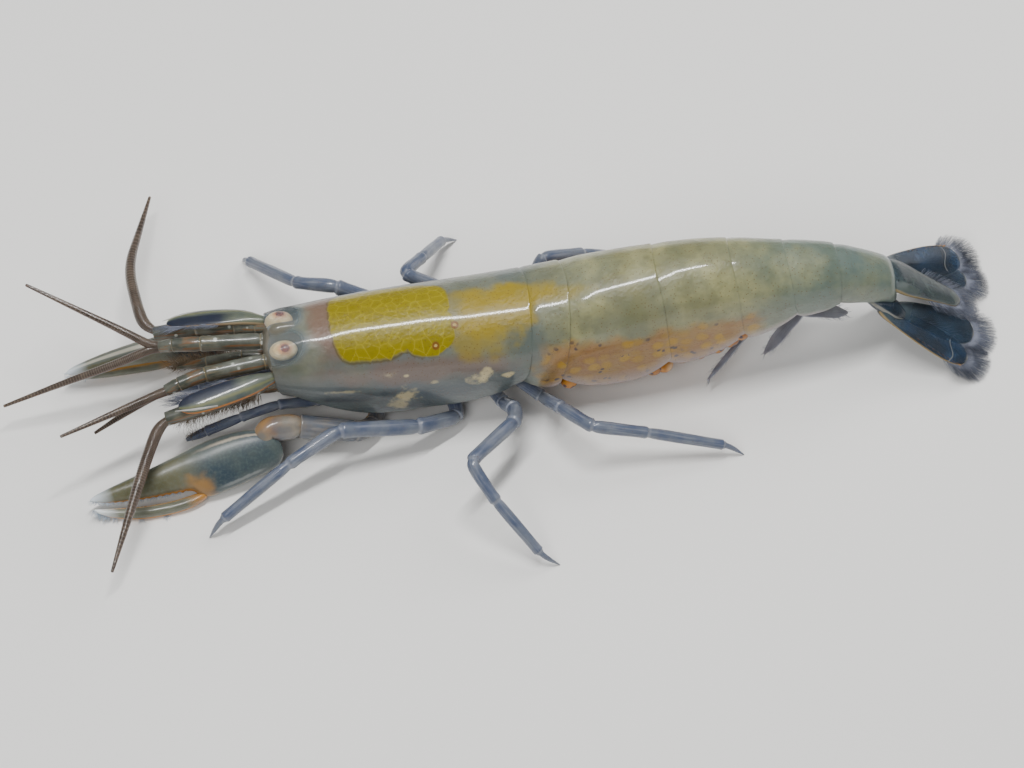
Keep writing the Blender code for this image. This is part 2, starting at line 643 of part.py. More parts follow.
# Swimmerets: (somite, x and y of the root, knee, tips). Each tip ends a blade of its own.
SWIMMERETS = (
    (1, (11.7, 0.82), (11.9, 0.95, 2.0), ((12.2, 1.1, 1.1),)),
    (2, (13.9, 0.8), (14.4, 0.82, 2.0), ((15.0, 0.95, 0.85),)),
    (3, (17.2, 0.62), (17.5, 0.62, 2.4), ((17.9, 0.8, 1.3),)),
    (4, (20.1, 0.5), (20.1, 0.6, 2.0), ((17.95, 2.1, 0.62),)),
    (5, (22.2, 0.42), (22.1, 0.6, 2.75), ((20.45, 1.33, 0.9), (24.05, 0.8, 2.35))),
)
SWIMMERET_SHAPE = ((0.0, 0.2, 0.22), (0.5, 0.25, 0.26), (1.0, 0.36, 0.26))
SWIMMERET_BLADE = ((0.0, 0.36, 0.26), (0.35, 0.4, 0.26), (0.75, 0.34, 0.25), (1.0, 0.12, 0.12))
EGG_START, EGG_END = 12.3, 19.6
EGG_RADIUS = 0.38
EGG_CLEARANCE = 0.95


def swimmerets(parts):
    """The legs under the abdomen. Returns each with the root, knee and tip that it follows."""
    finish = material("swimmerets, clear blue grey", LIMB_COLOUR)
    across = Vector((0.0, 1.0, 0.0))
    made = []
    for somite, (x, y), knee, tips in SWIMMERETS:
        for word, sign in (("left", -1), ("right", 1)):
            root = Vector((x, sign * y, along(STERNUM, x) - GAP))
            bend = side(knee, sign)
            blades = []
            for tip in tips:
                end = side(tip, sign)
                stations = [(root.lerp(bend, t), w, d) for t, w, d in SWIMMERET_SHAPE]
                stations += [(bend.lerp(end, t), w, d) for t, w, d in SWIMMERET_BLADE[1:]]
                blades.append(oval_loft("blade", stations, across, parts, 8))
            obj = blades[0]
            if len(blades) > 1:
                fuse(obj, blades[1:])
            obj.name = f"swimmeret_{somite}_{word}"
            obj.data.materials.append(finish)
            made.append((obj, root, bend, side(tips[0], sign)))
    return made


def reach(point, start, end):
    """Distance of a point from the stretch between two others."""
    nearest, share = intersect_point_line(point, start, end)
    return (point - start.lerp(end, min(max(share, 0.0), 1.0))).length


def egg_mass(parts, cutters, legs):
    """The eggs under the abdomen: a core that fills the channel, with eggs on its outside."""
    draw = random.Random(16)
    stations = []
    steps = 6
    for step in range(steps + 1):
        u = step / steps
        x = EGG_START + (EGG_END - EGG_START) * u
        top = along(STERNUM, x) - GAP
        low = along(LOWER_EDGE, x) + 0.1
        end = math.sqrt(max(0.0, 1 - abs(2 * u - 1) ** 4)) * 0.75 + 0.25
        half = (0.95 * along(HALF_WIDTH, x) - SHELL - GAP) * end
        stations.append(((x, 0.0, (top + low) / 2), half, (top - low) / 2 * end))
    core = oval_loft("egg_mass", stations, Vector((0.0, 1.0, 0.0)), parts, 12)
    clear_of(core, [leg[0] for leg in legs], cutters)
    lines = [line for _, root, bend, tip in legs for line in ((root, bend), (bend, tip))]
    eggs = []
    for ring in range(10):
        x = EGG_START + 0.15 + ring * 0.77
        half = along(HALF_WIDTH, x) - SHELL - GAP - EGG_RADIUS
        for k in range(4):
            y = half * (k - 1.5) / 1.5 + draw.uniform(-0.08, 0.08)
            low = along(LOWER_EDGE, x) + 0.12 + 0.25 * abs(y / half) ** 2
            centre = Vector((x + draw.uniform(-0.1, 0.1), y, low + draw.uniform(0.0, 0.12)))
            if any(reach(centre, *line) < EGG_CLEARANCE for line in lines):
                continue
            bm = bmesh.new()
            bmesh.ops.create_icosphere(bm, subdivisions=1, radius=EGG_RADIUS)
            turn = Matrix.Rotation(draw.uniform(0, 6.28), 4, "Z")
            bmesh.ops.rotate(bm, cent=(0, 0, 0), matrix=turn, verts=bm.verts)
            bmesh.ops.translate(bm, vec=centre, verts=bm.verts)
            eggs.append(new_object("egg", bm, parts))
    fuse(core, eggs)
    core.data.materials.append(material("eggs, amber", EGG_COLOUR, 0.2))


def to_metres(parts):
    """Turns millimetres to metres and sets the origin under the middle of the whole model."""
    corners = [v.co for obj in parts.objects for v in obj.data.vertices]
    middle = [(min(c[i] for c in corners) + max(c[i] for c in corners)) / 2 for i in (0, 1)]
    place = Matrix.Scale(MM, 4) @ Matrix.Translation((-middle[0], -middle[1], 0.0))
    for obj in parts.objects:
        obj.data.transform(place)
        obj.data.shade_smooth()
        obj.data.set_sharp_from_angle(angle=math.radians(50))


def main():
    clear_scene()
    parts = bpy.data.collections.new("betaeus_gracilis")
    cutters = bpy.data.collections.new("cutters")
    bpy.context.scene.collection.children.link(parts)
    bpy.context.scene.collection.children.link(cutters)
    nodes = trunk(parts, cutters)
    walking_legs(parts)
    claws(parts, cutters)
    head_limbs(parts)
    tail_fan(parts, cutters, nodes)
    legs = swimmerets(parts)
    egg_mass(parts, cutters, legs)
    to_metres(parts)
    bpy.data.collections.remove(cutters)


main()
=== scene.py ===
"""Betaeus gracilis, a slender hooded shrimp carrying eggs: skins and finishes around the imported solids.

Shapes are worked out in millimetres, x from the front margin of the carapace towards the tail, -y on the
animal's left and z up from the floor. Each mesh is turned to the frame's metres when it is finished.
"""

import math
import random

import bmesh
import bpy
from mathutils import Matrix, Vector


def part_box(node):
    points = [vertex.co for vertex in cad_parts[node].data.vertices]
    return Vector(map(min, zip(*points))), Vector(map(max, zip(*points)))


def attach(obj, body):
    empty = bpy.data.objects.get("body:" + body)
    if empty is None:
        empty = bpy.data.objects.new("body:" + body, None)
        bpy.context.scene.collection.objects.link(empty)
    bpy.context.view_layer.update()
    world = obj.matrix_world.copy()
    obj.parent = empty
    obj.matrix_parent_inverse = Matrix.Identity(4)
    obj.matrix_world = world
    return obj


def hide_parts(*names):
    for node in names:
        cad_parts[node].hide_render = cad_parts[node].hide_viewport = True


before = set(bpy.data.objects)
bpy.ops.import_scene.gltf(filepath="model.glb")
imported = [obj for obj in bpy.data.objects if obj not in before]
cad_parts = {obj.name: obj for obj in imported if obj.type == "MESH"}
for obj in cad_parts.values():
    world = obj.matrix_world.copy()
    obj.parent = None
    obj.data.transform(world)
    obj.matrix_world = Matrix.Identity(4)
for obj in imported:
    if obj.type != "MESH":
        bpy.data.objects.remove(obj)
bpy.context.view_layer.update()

MM = 0.001
SOMITE_6_END = 26.1
ORIGIN = Vector((
    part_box("abdomen_6")[1].x - SOMITE_6_END * MM,
    (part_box("eye_left")[0].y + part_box("eye_right")[1].y) / 2,
    0.0,
))
PLACE = Matrix.Translation(ORIGIN) @ Matrix.Scale(MM, 4)
TURN = 2 * math.pi
ACROSS = Vector((0.0, 1.0, 0.0))
UP = Vector((0.0, 0.0, 1.0))
SIDES = (("left", -1), ("right", 1))
# Nothing comes nearer to the floor than this.
FLOOR_GAP, HAIR_FLOOR_GAP = 0.02, 0.04
draw = random.Random(23)

# Body stations, as in the part: (distance behind the front margin, value).
BACK_HEIGHT = (
    (0.0, 4.95), (1.5, 5.15), (3.0, 5.34), (5.5, 5.42), (8.0, 5.42), (10.8, 5.6), (13.8, 6.1),
    (16.5, 6.38), (18.8, 6.36), (21.2, 5.9), (23.4, 5.42), (25.0, 4.75), (26.2, 3.95), (26.8, 3.5),
)
HALF_WIDTH = (
    (0.0, 1.7), (1.4, 2.0), (3.1, 2.15), (5.5, 2.3), (9.7, 2.4), (14.6, 2.2), (18.7, 1.9),
    (21.3, 1.62), (23.2, 1.36), (24.9, 1.12), (26.3, 1.0),
)
CROWN = (
    (0.0, 1.5), (1.4, 1.9), (3.1, 2.2), (5.5, 2.3), (14.6, 2.3), (18.7, 2.1), (21.3, 1.7),
    (23.2, 1.35), (24.9, 1.2), (26.3, 1.0),
)
LOWER_EDGE = (
    (0.0, 3.15), (1.15, 2.6), (2.75, 1.78), (4.0, 1.38), (5.2, 1.34), (6.4, 1.45), (7.7, 1.5),
    (9.3, 1.8), (10.3, 2.25), (11.2, 1.8), (13.5, 1.3), (15.2, 1.28), (16.8, 1.7), (18.4, 2.15),
    (20.5, 2.85), (21.8, 3.3), (23.2, 3.4),
)
STERNUM = (
    (0.0, 3.3), (1.2, 2.8), (2.8, 2.25), (5.2, 2.0), (9.3, 2.25), (10.6, 2.75), (14.0, 3.05),
    (17.0, 3.4), (19.0, 3.6), (21.3, 3.75), (23.2, 3.8),
)


def along(stations, x):
    """The value at x on a smooth curve through the stations, level past both ends."""
    if x <= stations[0][0]:
        return stations[0][1]
    if x >= stations[-1][0]:
        return stations[-1][1]
    i = max(k for k in range(len(stations) - 1) if stations[k][0] <= x)
    slopes = []
    for k in (i, i + 1):
        before, after = stations[max(k - 1, 0)], stations[min(k + 1, len(stations) - 1)]
        slopes.append((after[1] - before[1]) / (after[0] - before[0]))
    (x0, v0), (x1, v1) = stations[i], stations[i + 1]
    step = x1 - x0
    t = (x - x0) / step
    return (
        (2 * t**3 - 3 * t**2 + 1) * v0 + (t**3 - 2 * t**2 + t) * step * slopes[0]
        + (3 * t**2 - 2 * t**3) * v1 + (t**3 - t**2) * step * slopes[1]
    )


def spaced(values, count):
    """The values drawn out or together into as many as the count."""
    steps = tuple(enumerate(values))
    return [along(steps, i * (len(values) - 1) / (count - 1)) for i in range(count)]


def side(point, sign):
    return Vector((point[0], sign * point[1], point[2]))


def mirrored(points, sign):
    return [side(point, sign) for point in points]


def rooted(joints, sign):
    """A limb's joints on one side. The first is given by x and y, and lies in the sternum."""
    x, y = joints[0]
    return mirrored(((x, y, along(STERNUM, x)), *joints[1:]), sign)


def square_to(direction, heading):
    return (direction - heading * direction.dot(heading)).normalized()


def hump(x, centre, reach):
    """1 at the centre, falling smoothly to nothing past the reach."""
    return math.exp(-(((x - centre) / reach) ** 2))


# Meshes

def new(shape, *values, **settings):
    """A bmesh that starts with one shape."""
    bm = bmesh.new()
    shape(bm, *values, **settings)
    return bm


def mesh_of(bm, name):
    mesh = bpy.data.meshes.new(name)
    bm.to_mesh(mesh)
    bm.free()
    return mesh


def placed(name, data):
    """A new object in the scene."""
    made = bpy.data.objects.new(name, data)
    bpy.context.scene.collection.objects.link(made)
    return made


def finish(bm, name, material, stands_in=True, smooth=1, wall=0.0):
    """Makes the piece: metres, outward faces, wall and smoothing. It stands in for the node so named."""
    for vert in bm.verts:
        vert.co.z = max(vert.co.z, FLOOR_GAP)
    bm.transform(PLACE)
    bmesh.ops.recalc_face_normals(bm, faces=bm.faces)
    label = name + "_skin" if stands_in else name
    mesh = mesh_of(bm, label)
    mesh.shade_smooth()
    mesh.materials.append(material)
    piece = placed(label, mesh)
    if wall:
        solid = piece.modifiers.new("wall", "SOLIDIFY")
        solid.thickness = wall * MM
        solid.offset = -1.0
    if smooth:
        soft = piece.modifiers.new("smooth", "SUBSURF")
        soft.levels = soft.render_levels = smooth
    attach(piece, "root")
    if stands_in:
        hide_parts(name)


def sheet(bm, columns, rows, place):
    """Adds a patch of quads; place(u, v) gives each corner, u and v from 0 to 1."""
    bmesh.ops.create_grid(bm, x_segments=columns, y_segments=rows, size=0.5)
    follow = bm.loops.layers.uv.new("Follow")
    for face in bm.faces:
        for loop in face.loops:
            loop[follow].uv = (loop.vert.co.x + 0.5, loop.vert.co.y + 0.5)
    for vert in bm.verts:
        vert.co = place(vert.co.x + 0.5, vert.co.y + 0.5)


def tube(bm, rings, sides, place, mark=lambda t: t):
    """Adds a closed tube; place(t, turn) gives each point and mark(t) the UV along it."""
    follow = bm.loops.layers.uv.get("Follow") or bm.loops.layers.uv.new("Follow")
    made = bmesh.ops.create_cone(bm, cap_ends=True, segments=sides, radius1=1.0, radius2=1.0, depth=1.0)
    upright = {e for v in made["verts"] for e in v.link_edges if abs(e.verts[0].co.z - e.verts[1].co.z) > 0.5}
    cut = bmesh.ops.subdivide_edges(bm, edges=list(upright), cuts=rings)
    inner = {g for g in cut["geom_inner"] if isinstance(g, bmesh.types.BMVert)}
    verts = {v for inside in inner for f in inside.link_faces for v in f.verts}
    facts = {v: (v.co.z + 0.5, math.atan2(v.co.y, v.co.x)) for v in verts}
    for face in {f for v in verts for f in v.link_faces}:
        turns = [facts[loop.vert][1] for loop in face.loops]
        wraps = max(turns) - min(turns) > math.pi
        for loop in face.loops:
            t, turn = facts[loop.vert]
            loop[follow].uv = (mark(t), (turn + (TURN if wraps and turn < 0 else 0)) / TURN)
    for vert, (t, turn) in facts.items():
        vert.co = place(t, turn)


def on_path(joints, s, bend):
    """The point at joint number s, with each corner rounded over the bend length."""
    near = round(s)
    if 0 < near < len(joints) - 1:
        here = joints[near]
        back, ahead = joints[near - 1] - here, joints[near + 1] - here
        start, end = min(bend / back.length, 0.45), min(bend / ahead.length, 0.45)
        if -start <= s - near <= end:
            q = (s - near + start) / (start + end)
            into, out_of = here + back * start, here + ahead * end
            return into * (1 - q) ** 2 + here * (2 * q * (1 - q)) + out_of * q**2
    i = min(int(s), len(joints) - 2)
    return joints[i].lerp(joints[i + 1], s - i)


def swept(bm, joints, places, sizes, bend, sides):
    """Adds a tube through places on a jointed line, each counted in joints and with its own radius.

    Its sections stand square to the line and turn as little as they can.
    """
    joints = [Vector(j) for j in joints]
    centres = [on_path(joints, s, bend) for s in places]
    last = len(places) - 1
    headings = [(centres[min(k + 1, last)] - centres[max(k - 1, 0)]).normalized() for k in range(last + 1)]
    up = UP if abs(headings[0].z) < 0.8 else Vector((1, 0, 0))
    turned = []
    for heading in headings:
        up = square_to(up, heading)
        turned.append((up, heading.cross(up)))

    def place(t, turn):
        k = round(t * last)
        up, across = turned[k]
        return centres[k] + up * (sizes[k] * math.cos(turn)) + across * (sizes[k] * math.sin(turn))

    tube(bm, last - 1, sides, place, lambda t: places[round(t * last)] / JOINTS_PER_MAP)


# The length of the "Follow" map holds this many articles.
JOINTS_PER_MAP = 10
BEND = 0.42
ARTICLE_MARKS = (0.0, 0.035, 0.07, 0.13, 0.25, 0.45, 0.65, 0.82, 0.9, 0.94, 0.97)
# Thickness along one article, from joint to joint.
LEG_ARTICLE = ((0.0, 0.78), (0.05, 0.88), (0.13, 0.96), (0.4, 1.0), (0.82, 0.97), (0.93, 1.05), (0.97, 1.05),
               (1.0, 0.78))
STALK_ARTICLE = ((0.0, 0.9), (0.06, 0.98), (0.2, 1.03), (0.5, 1.0), (0.85, 1.0), (0.94, 1.05), (0.98, 1.02),
                 (1.0, 0.9))
FEELER_RINGS = 20


def limb(bm, joints, radii, sides=14, bend=BEND, article=LEG_ARTICLE, slim=1.0):
    """Adds a jointed limb: an article between each two joints, drawn in at the joints.

    The last article is thinner than its neighbour by the factor slim.
    """
    last = len(joints) - 1
    places = [i + f for i in range(last) for f in ARTICLE_MARKS] + [float(last)]
    thick = tuple(enumerate(radii))
    sizes = []
    for s in places:
        shape = along(article, s - int(s)) if article and 0.02 < s < last - 0.5 else 1.0
        sizes.append(along(thick, s) * shape * (slim if s > last - 0.96 else 1.0))
    swept(bm, joints, places, sizes, bend, sides)


def ringed(bm, joints, radii):
    """Adds a feeler of short swollen rings, FEELER_RINGS from joint to joint."""
    last = len(joints) - 1
    count = last * FEELER_RINGS * 2
    places = [last * k / count for k in range(count + 1)]
    thick = tuple(enumerate(radii))
    sizes = [along(thick, s) * (1.05 if k % 2 else 0.9) for k, s in enumerate(places)]
    swept(bm, joints, places, sizes, 1.2, 10)


def oval(bm, stations, across, sides=18, rings=24, ripple=None, axis=None):
    """Adds a solid of oval sections through stations of (centre, half width, half depth).

    The sections stand square to the axis, or else to the line through the centres.
    """
    spots = [0.0]
    for (a, *_), (b, *_) in zip(stations, stations[1:]):
        spots.append(spots[-1] + (Vector(b) - Vector(a)).length)
    rows = zip(*((*p, w, d) for p, w, d in stations))
    *line, widths, depths = (tuple(zip(spots, values)) for values in rows)
    length, step, thinnest = spots[-1], spots[-1] * 0.01, 0.02

    def centre(s):
        return Vector([along(track, s) for track in line])

    def place(t, turn):
        s = t * length
        heading = axis or (centre(min(s + step, length)) - centre(max(s - step, 0.0))).normalized()
        flat = square_to(across, heading)
        c = math.cos(turn)
        wide = max(along(widths, s), thinnest) * (ripple(t, c) if ripple else 1.0)
        depth = max(along(depths, s), thinnest)
        return centre(s) + flat * (wide * c) + heading.cross(flat) * (depth * math.sin(turn))

    tube(bm, rings, sides, place)


def unit_hair():
    """A bowed hair one long up the z axis and one in radius, its OFBake map a small ring."""
    bm = bmesh.new()
    bake = bm.loops.layers.uv.new("OFBake")

    def place(t, turn):
        size, bow = 1 - 0.8 * t, 20.0 * (t - t * t)
        return Vector((size * math.cos(turn) + bow, size * math.sin(turn), t))

    tube(bm, 2, 3, place)
    for face in bm.faces:
        for k, loop in enumerate(face.loops):
            turn = TURN * k / len(face.loops)
            loop[bake].uv = (0.0015 * math.cos(turn), 0.0015 * math.sin(turn))
    return mesh_of(bm, "hair unit")


def stamp(bm, unit, matrix, corner=None):
    """Adds a copy of a small mesh, its OFBake map moved to the corner."""
    copy = unit.copy()
    copy.transform(matrix)
    if corner:
        layer = copy.uv_layers["OFBake"].data
        flat = [0.0] * (2 * len(layer))
        layer.foreach_get("uv", flat)
        layer.foreach_set("uv", [f + corner[i % 2] for i, f in enumerate(flat)])
    bm.from_mesh(copy)
    bpy.data.meshes.remove(copy)


def hair(bm, root, tip, radius):
    """Adds one fine bowed hair. Its OFBake map lies where the body would on a flat layout from above."""
    root, tip = Vector(root), Vector(tip)
    root.z, tip.z = max(root.z, HAIR_FLOOR_GAP), max(tip.z, HAIR_FLOOR_GAP)
    length = (tip - root).length
    heading = (tip - root) / length
    sideways = heading.cross(Vector([draw.uniform(-1, 1) for _ in range(3)])).normalized()
    other = heading.cross(sideways)
    matrix = Matrix((
        (*(sideways * radius), 0.0), (*(other * radius), 0.0), (*(heading * length), 0.0), (*root, 1.0),
    )).transposed()
    stamp(bm, UNIT_HAIR, matrix, (0.05 + 0.9 * (root.x + 12) / 44, 0.05 + 0.9 * (root.y + 12) / 24))


def hair_mesh():
    bm = bmesh.new()
    bm.loops.layers.uv.new("OFBake")
    return bm


UNIT_HAIR = unit_hair()


# Materials

def colour(hex_code):
    """An sRGB hex colour as linear values."""
    parts = [int(hex_code[i:i + 2], 16) / 255 for i in (1, 3, 5)]
    return (*[p / 12.92 if p <= 0.04045 else ((p + 0.055) / 1.055) ** 2.4 for p in parts], 1.0)


def add(tree, kind, *values, named=None, out=0, stops=(), **settings):
    """Adds a node with its settings and what goes into it, and gives back one of its outputs."""
    made = tree.nodes.new("ShaderNode" + kind)
    for key, value in settings.items():
        setattr(made, key, value)
    for key, value in (dict(enumerate(values)) | (named or {})).items():
        if isinstance(value, bpy.types.NodeSocket):
            tree.links.new(value, made.inputs[key])
        else:
            made.inputs[key].default_value = colour(value) if isinstance(value, str) else value
    for k, (spot, hex_code) in enumerate(stops):
        ramp = made.color_ramp.elements
        element = ramp[k] if k < len(ramp) else ramp.new(spot)
        element.position = spot
        element.color = colour(hex_code)
    return made.outputs[out]


def times(tree, *values):
    product = values[0]
    for value in values[1:]:
        product = add(tree, "Math", product, value, operation="MULTIPLY")
    return product


def coats(tree, skin, *layers):
    """Lays colours over a skin in turn.

    A layer is (mask, colour), or (value, where it starts to show, where it is full, its share, colour).
    """
    for mask, *edges, hue in layers:
        if edges:
            start, full, share = edges
            mask = add(tree, "MapRange", mask, start, full, 0.0, share)
        skin = add(tree, "Mix", mask, named={6: skin, 7: hue}, out=2, data_type="RGBA")
    return skin


def clouds(tree, place, scale, under, over, low=0.35, high=0.65, share=1.0, detail=4.0, shift=None):
    """Lays one colour over another in soft clouds, about as many a millimetre as the scale says."""
    if shift:
        place = add(tree, "VectorMath", place, shift, operation="ADD")
    noise = add(tree, "TexNoise", place, named={"Scale": scale, "Detail": detail})
    return coats(tree, under, (noise, low, high, share, over))


def body_place(tree):
    """Object coordinates in the millimetres that the shapes are worked out in."""
    scaled = add(tree, "VectorMath", add(tree, "TexCoord", out=3), (1 / MM,) * 3, operation="MULTIPLY")
    return add(tree, "VectorMath", scaled, tuple(ORIGIN / MM), operation="SUBTRACT")


def both_sides(tree, place):
    """The place's x, y and z, and the place with the left side folded onto the right."""
    x, y, z = (add(tree, "SeparateXYZ", place, out=k) for k in range(3))
    return x, y, z, add(tree, "CombineXYZ", x, add(tree, "Math", y, operation="ABSOLUTE"), z)


def follow_map(tree):
    """The two values of the map that follows a piece's surface."""
    follow = add(tree, "UVMap", uv_map="Follow")
    return [add(tree, "SeparateXYZ", follow, out=k) for k in range(2)]


def round_map(tree):
    """On a tube: how far along it, and 1 to -1 from one edge of its section to the other."""
    t, turn = follow_map(tree)
    return t, add(tree, "Math", times(tree, turn, TURN), operation="COSINE")


def patch(tree, place, centre, reach, soft=0.35, wobble=None, square=2.0):
    """1 inside an egg-shaped or squarish patch around the centre, 0 outside it, with a soft edge."""
    offset = add(tree, "VectorMath", place, centre, operation="SUBTRACT")
    size = add(tree, "VectorMath", offset, tuple(1 / r for r in reach), operation="MULTIPLY")
    if square == 2.0:
        length = add(tree, "VectorMath", size, operation="LENGTH", out=1)
    else:
        powers = add(tree, "VectorMath", add(tree, "VectorMath", size, operation="ABSOLUTE"),
                     (square,) * 3, operation="POWER")
        total = add(tree, "VectorMath", powers, (1.0, 1.0, 1.0), operation="DOT_PRODUCT", out=1)
        length = add(tree, "Math", total, 1 / square, operation="POWER")
    if wobble is not None:
        length = add(tree, "Math", length, wobble, operation="ADD")
    return add(tree, "MapRange", length, 1.0 - soft / 2, 1.0 + soft / 2, 1.0, 0.0,
               interpolation_type="SMOOTHSTEP")


def band(tree, value, low, start, end, high):
    """1 between start and end, falling to 0 at low and high."""
    return times(tree, add(tree, "MapRange", value, low, start, 0.0, 1.0),
                 add(tree, "MapRange", value, end, high, 1.0, 0.0))


def ragged(tree, place, scale, detail, reach, low=0.3, high=0.7):
    """A random amount between -reach and reach that makes an edge uneven."""
    noise = add(tree, "TexNoise", place, named={"Scale": scale, "Detail": detail})
    return add(tree, "MapRange", noise, low, high, -reach, reach)


def wet_bump(tree, place, strength=0.3):
    """Low folds 1 mm apart and fine grain 0.15 mm apart, which break up the gloss."""
    folds = add(tree, "TexNoise", place, named={"Scale": 1.1, "Detail": 2.0})
    grain = add(tree, "TexNoise", place, named={"Scale": 6.5, "Detail": 3.0})
    height = add(tree, "Mix", 0.3, named={2: folds, 3: grain})
    return add(tree, "Bump", strength, 0.12 * MM, named={"Height": height})


def dressed(name, build, **constants):
    """A material whose constant values sit on the shader and whose patterns come from build(tree)."""
    made = bpy.data.materials.new(name)
    made.use_nodes = True
    tree = made.node_tree
    shader = tree.nodes["Principled BSDF"]
    for key, value in constants.items():
        shader.inputs[key.replace("_", " ")].default_value = value
    for key, socket in build(tree).items():
        tree.links.new(socket, shader.inputs[key])
    return made


# Wet cuticle over soft tissue: light goes a third of a millimetre in, and a film of water lies on top.
FLESHY = {
    "IOR": 1.42, "Subsurface_Weight": 0.3, "Subsurface_Radius": (1.0, 0.8, 0.6),
    "Subsurface_Scale": 0.3 * MM, "Coat_Weight": 0.55, "Coat_Roughness": 0.1, "Roughness": 0.42,
}
# Tissue colour down the body, from the hood to the last somite: grey head, olive abdomen, blue-green tail.
TISSUE_LENGTH = 27.0
TISSUE = (
    (0.0, "#5b5c54"), (0.2, "#5c605e"), (0.38, "#5f6660"), (0.46, "#6c6d52"), (0.56, "#76734c"),
    (0.7, "#747556"), (0.8, "#626e61"), (1.0, "#4a5d60"),
)
# Tissue of another colour under the shell: (centre, reach, colour, share).
TISSUE_PATCHES = (
    ((6.2, 2.15, 4.0), (3.6, 0.8, 0.55), "#695a52", 0.85),
    ((2.55, 0.3, 5.1), (0.65, 1.2, 1.0), "#6f5244", 0.75),
    ((3.3, 2.2, 2.75), (1.3, 0.8, 0.3), "#1f2a33", 0.75),
    ((5.0, 2.2, 1.75), (1.6, 0.8, 0.22), "#333e46", 0.6),
    ((7.4, 2.4, 2.7), (1.3, 0.8, 0.45), "#39444b", 0.6),
    ((10.4, 1.6, 4.7), (0.8, 1.2, 0.9), "#525c5a", 0.6),
)
# Cream spots inside the gill chamber: (centre, reach, share).
CREAM_SPOTS = (
    ((8.6, 2.35, 3.35), (0.36, 0.8, 0.3), 0.95), ((9.6, 2.39, 3.32), (0.22, 0.8, 0.12), 0.9),
    ((5.5, 2.3, 2.6), (0.34, 0.8, 0.42), 0.7), ((5.2, 2.28, 1.95), (0.36, 0.8, 0.36), 0.6),
    ((5.5, 2.17, 3.86), (0.13, 0.8, 0.08), 0.8), ((6.6, 2.31, 3.37), (0.12, 0.8, 0.1), 0.5),
    ((4.75, 2.1, 3.95), (0.3, 0.8, 0.14), 0.35), ((3.0, 2.1, 3.2), (0.5, 0.8, 0.09), 0.5),
)
# Two small ringed pores on the left of the back.
PORES = ((7.66, -0.95, 5.22), (6.79, -1.57, 4.81))
# Lobes of the ovary in x and y: (centre, reach, how square). Behind them paler ones: (centre, reach, share).
OVARY = (
    ((4.38, -0.12), (1.72, 1.66), 3.6), ((5.15, 0.46), (2.4, 1.02), 2.6), ((6.55, -0.92), (1.15, 0.98), 2.3),
    ((6.2, 0.0), (1.4, 0.9), 2.3),
)
REAR_OVARY = (
    ((9.3, -0.65), (1.5, 1.1), 0.85), ((10.3, -0.1), (1.5, 0.62), 0.8), ((11.6, -0.4), (1.6, 0.4), 0.5),
    ((7.9, -0.4), (0.9, 0.8), 0.4), ((8.75, -1.5), (1.4, 0.62), 0.6),
)


def ovary(tree, skin, place, x, y, z, wobble):
    """The ripe ovary under the back: a mosaic of yolky egg cells about 0.45 mm across.

    A cell is in a lobe when its middle is, so the lobes end in whole cells.
    """
    above = add(tree, "CombineXYZ", x, times(tree, y, 1.15), 0.0)
    cell = {"named": {"Scale": 2.2, "Randomness": 0.75}, "voronoi_dimensions": "2D"}
    hue, middle = (add(tree, "TexVoronoi", above, out=k, **cell) for k in (1, 2))
    middle = add(tree, "VectorMath", middle, (1.0, 0.87, 0.0), operation="MULTIPLY")
    flat = add(tree, "Mix", 0.16, named={4: add(tree, "CombineXYZ", x, y, 0.0), 5: middle}, out=1,
               data_type="VECTOR")
    lobes = None
    for centre, reach, square in OVARY:
        lobe = patch(tree, flat, (*centre, 0.0), (*reach, 1.0), 0.1, times(tree, wobble, 0.1), square)
        lobes = lobe if lobes is None else add(tree, "Math", lobes, lobe, operation="MAXIMUM")
    upper = add(tree, "MapRange", z, 3.9, 4.1, 0.0, 1.0)
    rim = add(tree, "TexVoronoi", above, feature="DISTANCE_TO_EDGE", **cell)
    yolk = coats(tree, "#7c7000", (add(tree, "SeparateColor", hue), "#867a00"),
                 (rim, 0.02, 0.2, 0.3, "#6b6000"), (rim, 0.05, 0.0, 0.24, "#b3a740"))
    for centre, reach, share in REAR_OVARY:
        lobe = patch(tree, place, (*centre, 5.0), (*reach, 2.5), 0.7, wobble)
        skin = coats(tree, skin, (times(tree, lobe, share, upper), "#8a7714"))
    # A thin brown line follows the lobes' edge: partly the faint dark edge the ovary has, partly painted
    # shade that gives the lobes depth. It fades out towards the rear.
    painted_edge_shade = times(tree, band(tree, lobes, 0.02, 0.3, 0.5, 0.95), upper,
                     add(tree, "MapRange", x, 5.6, 7.0, 0.7, 0.1))
    inside = times(tree, add(tree, "MapRange", lobes, 0.5, 1.0, 0.0, 1.0), upper)
    return coats(tree, skin, (painted_edge_shade, "#4f4418"), (inside, yolk))


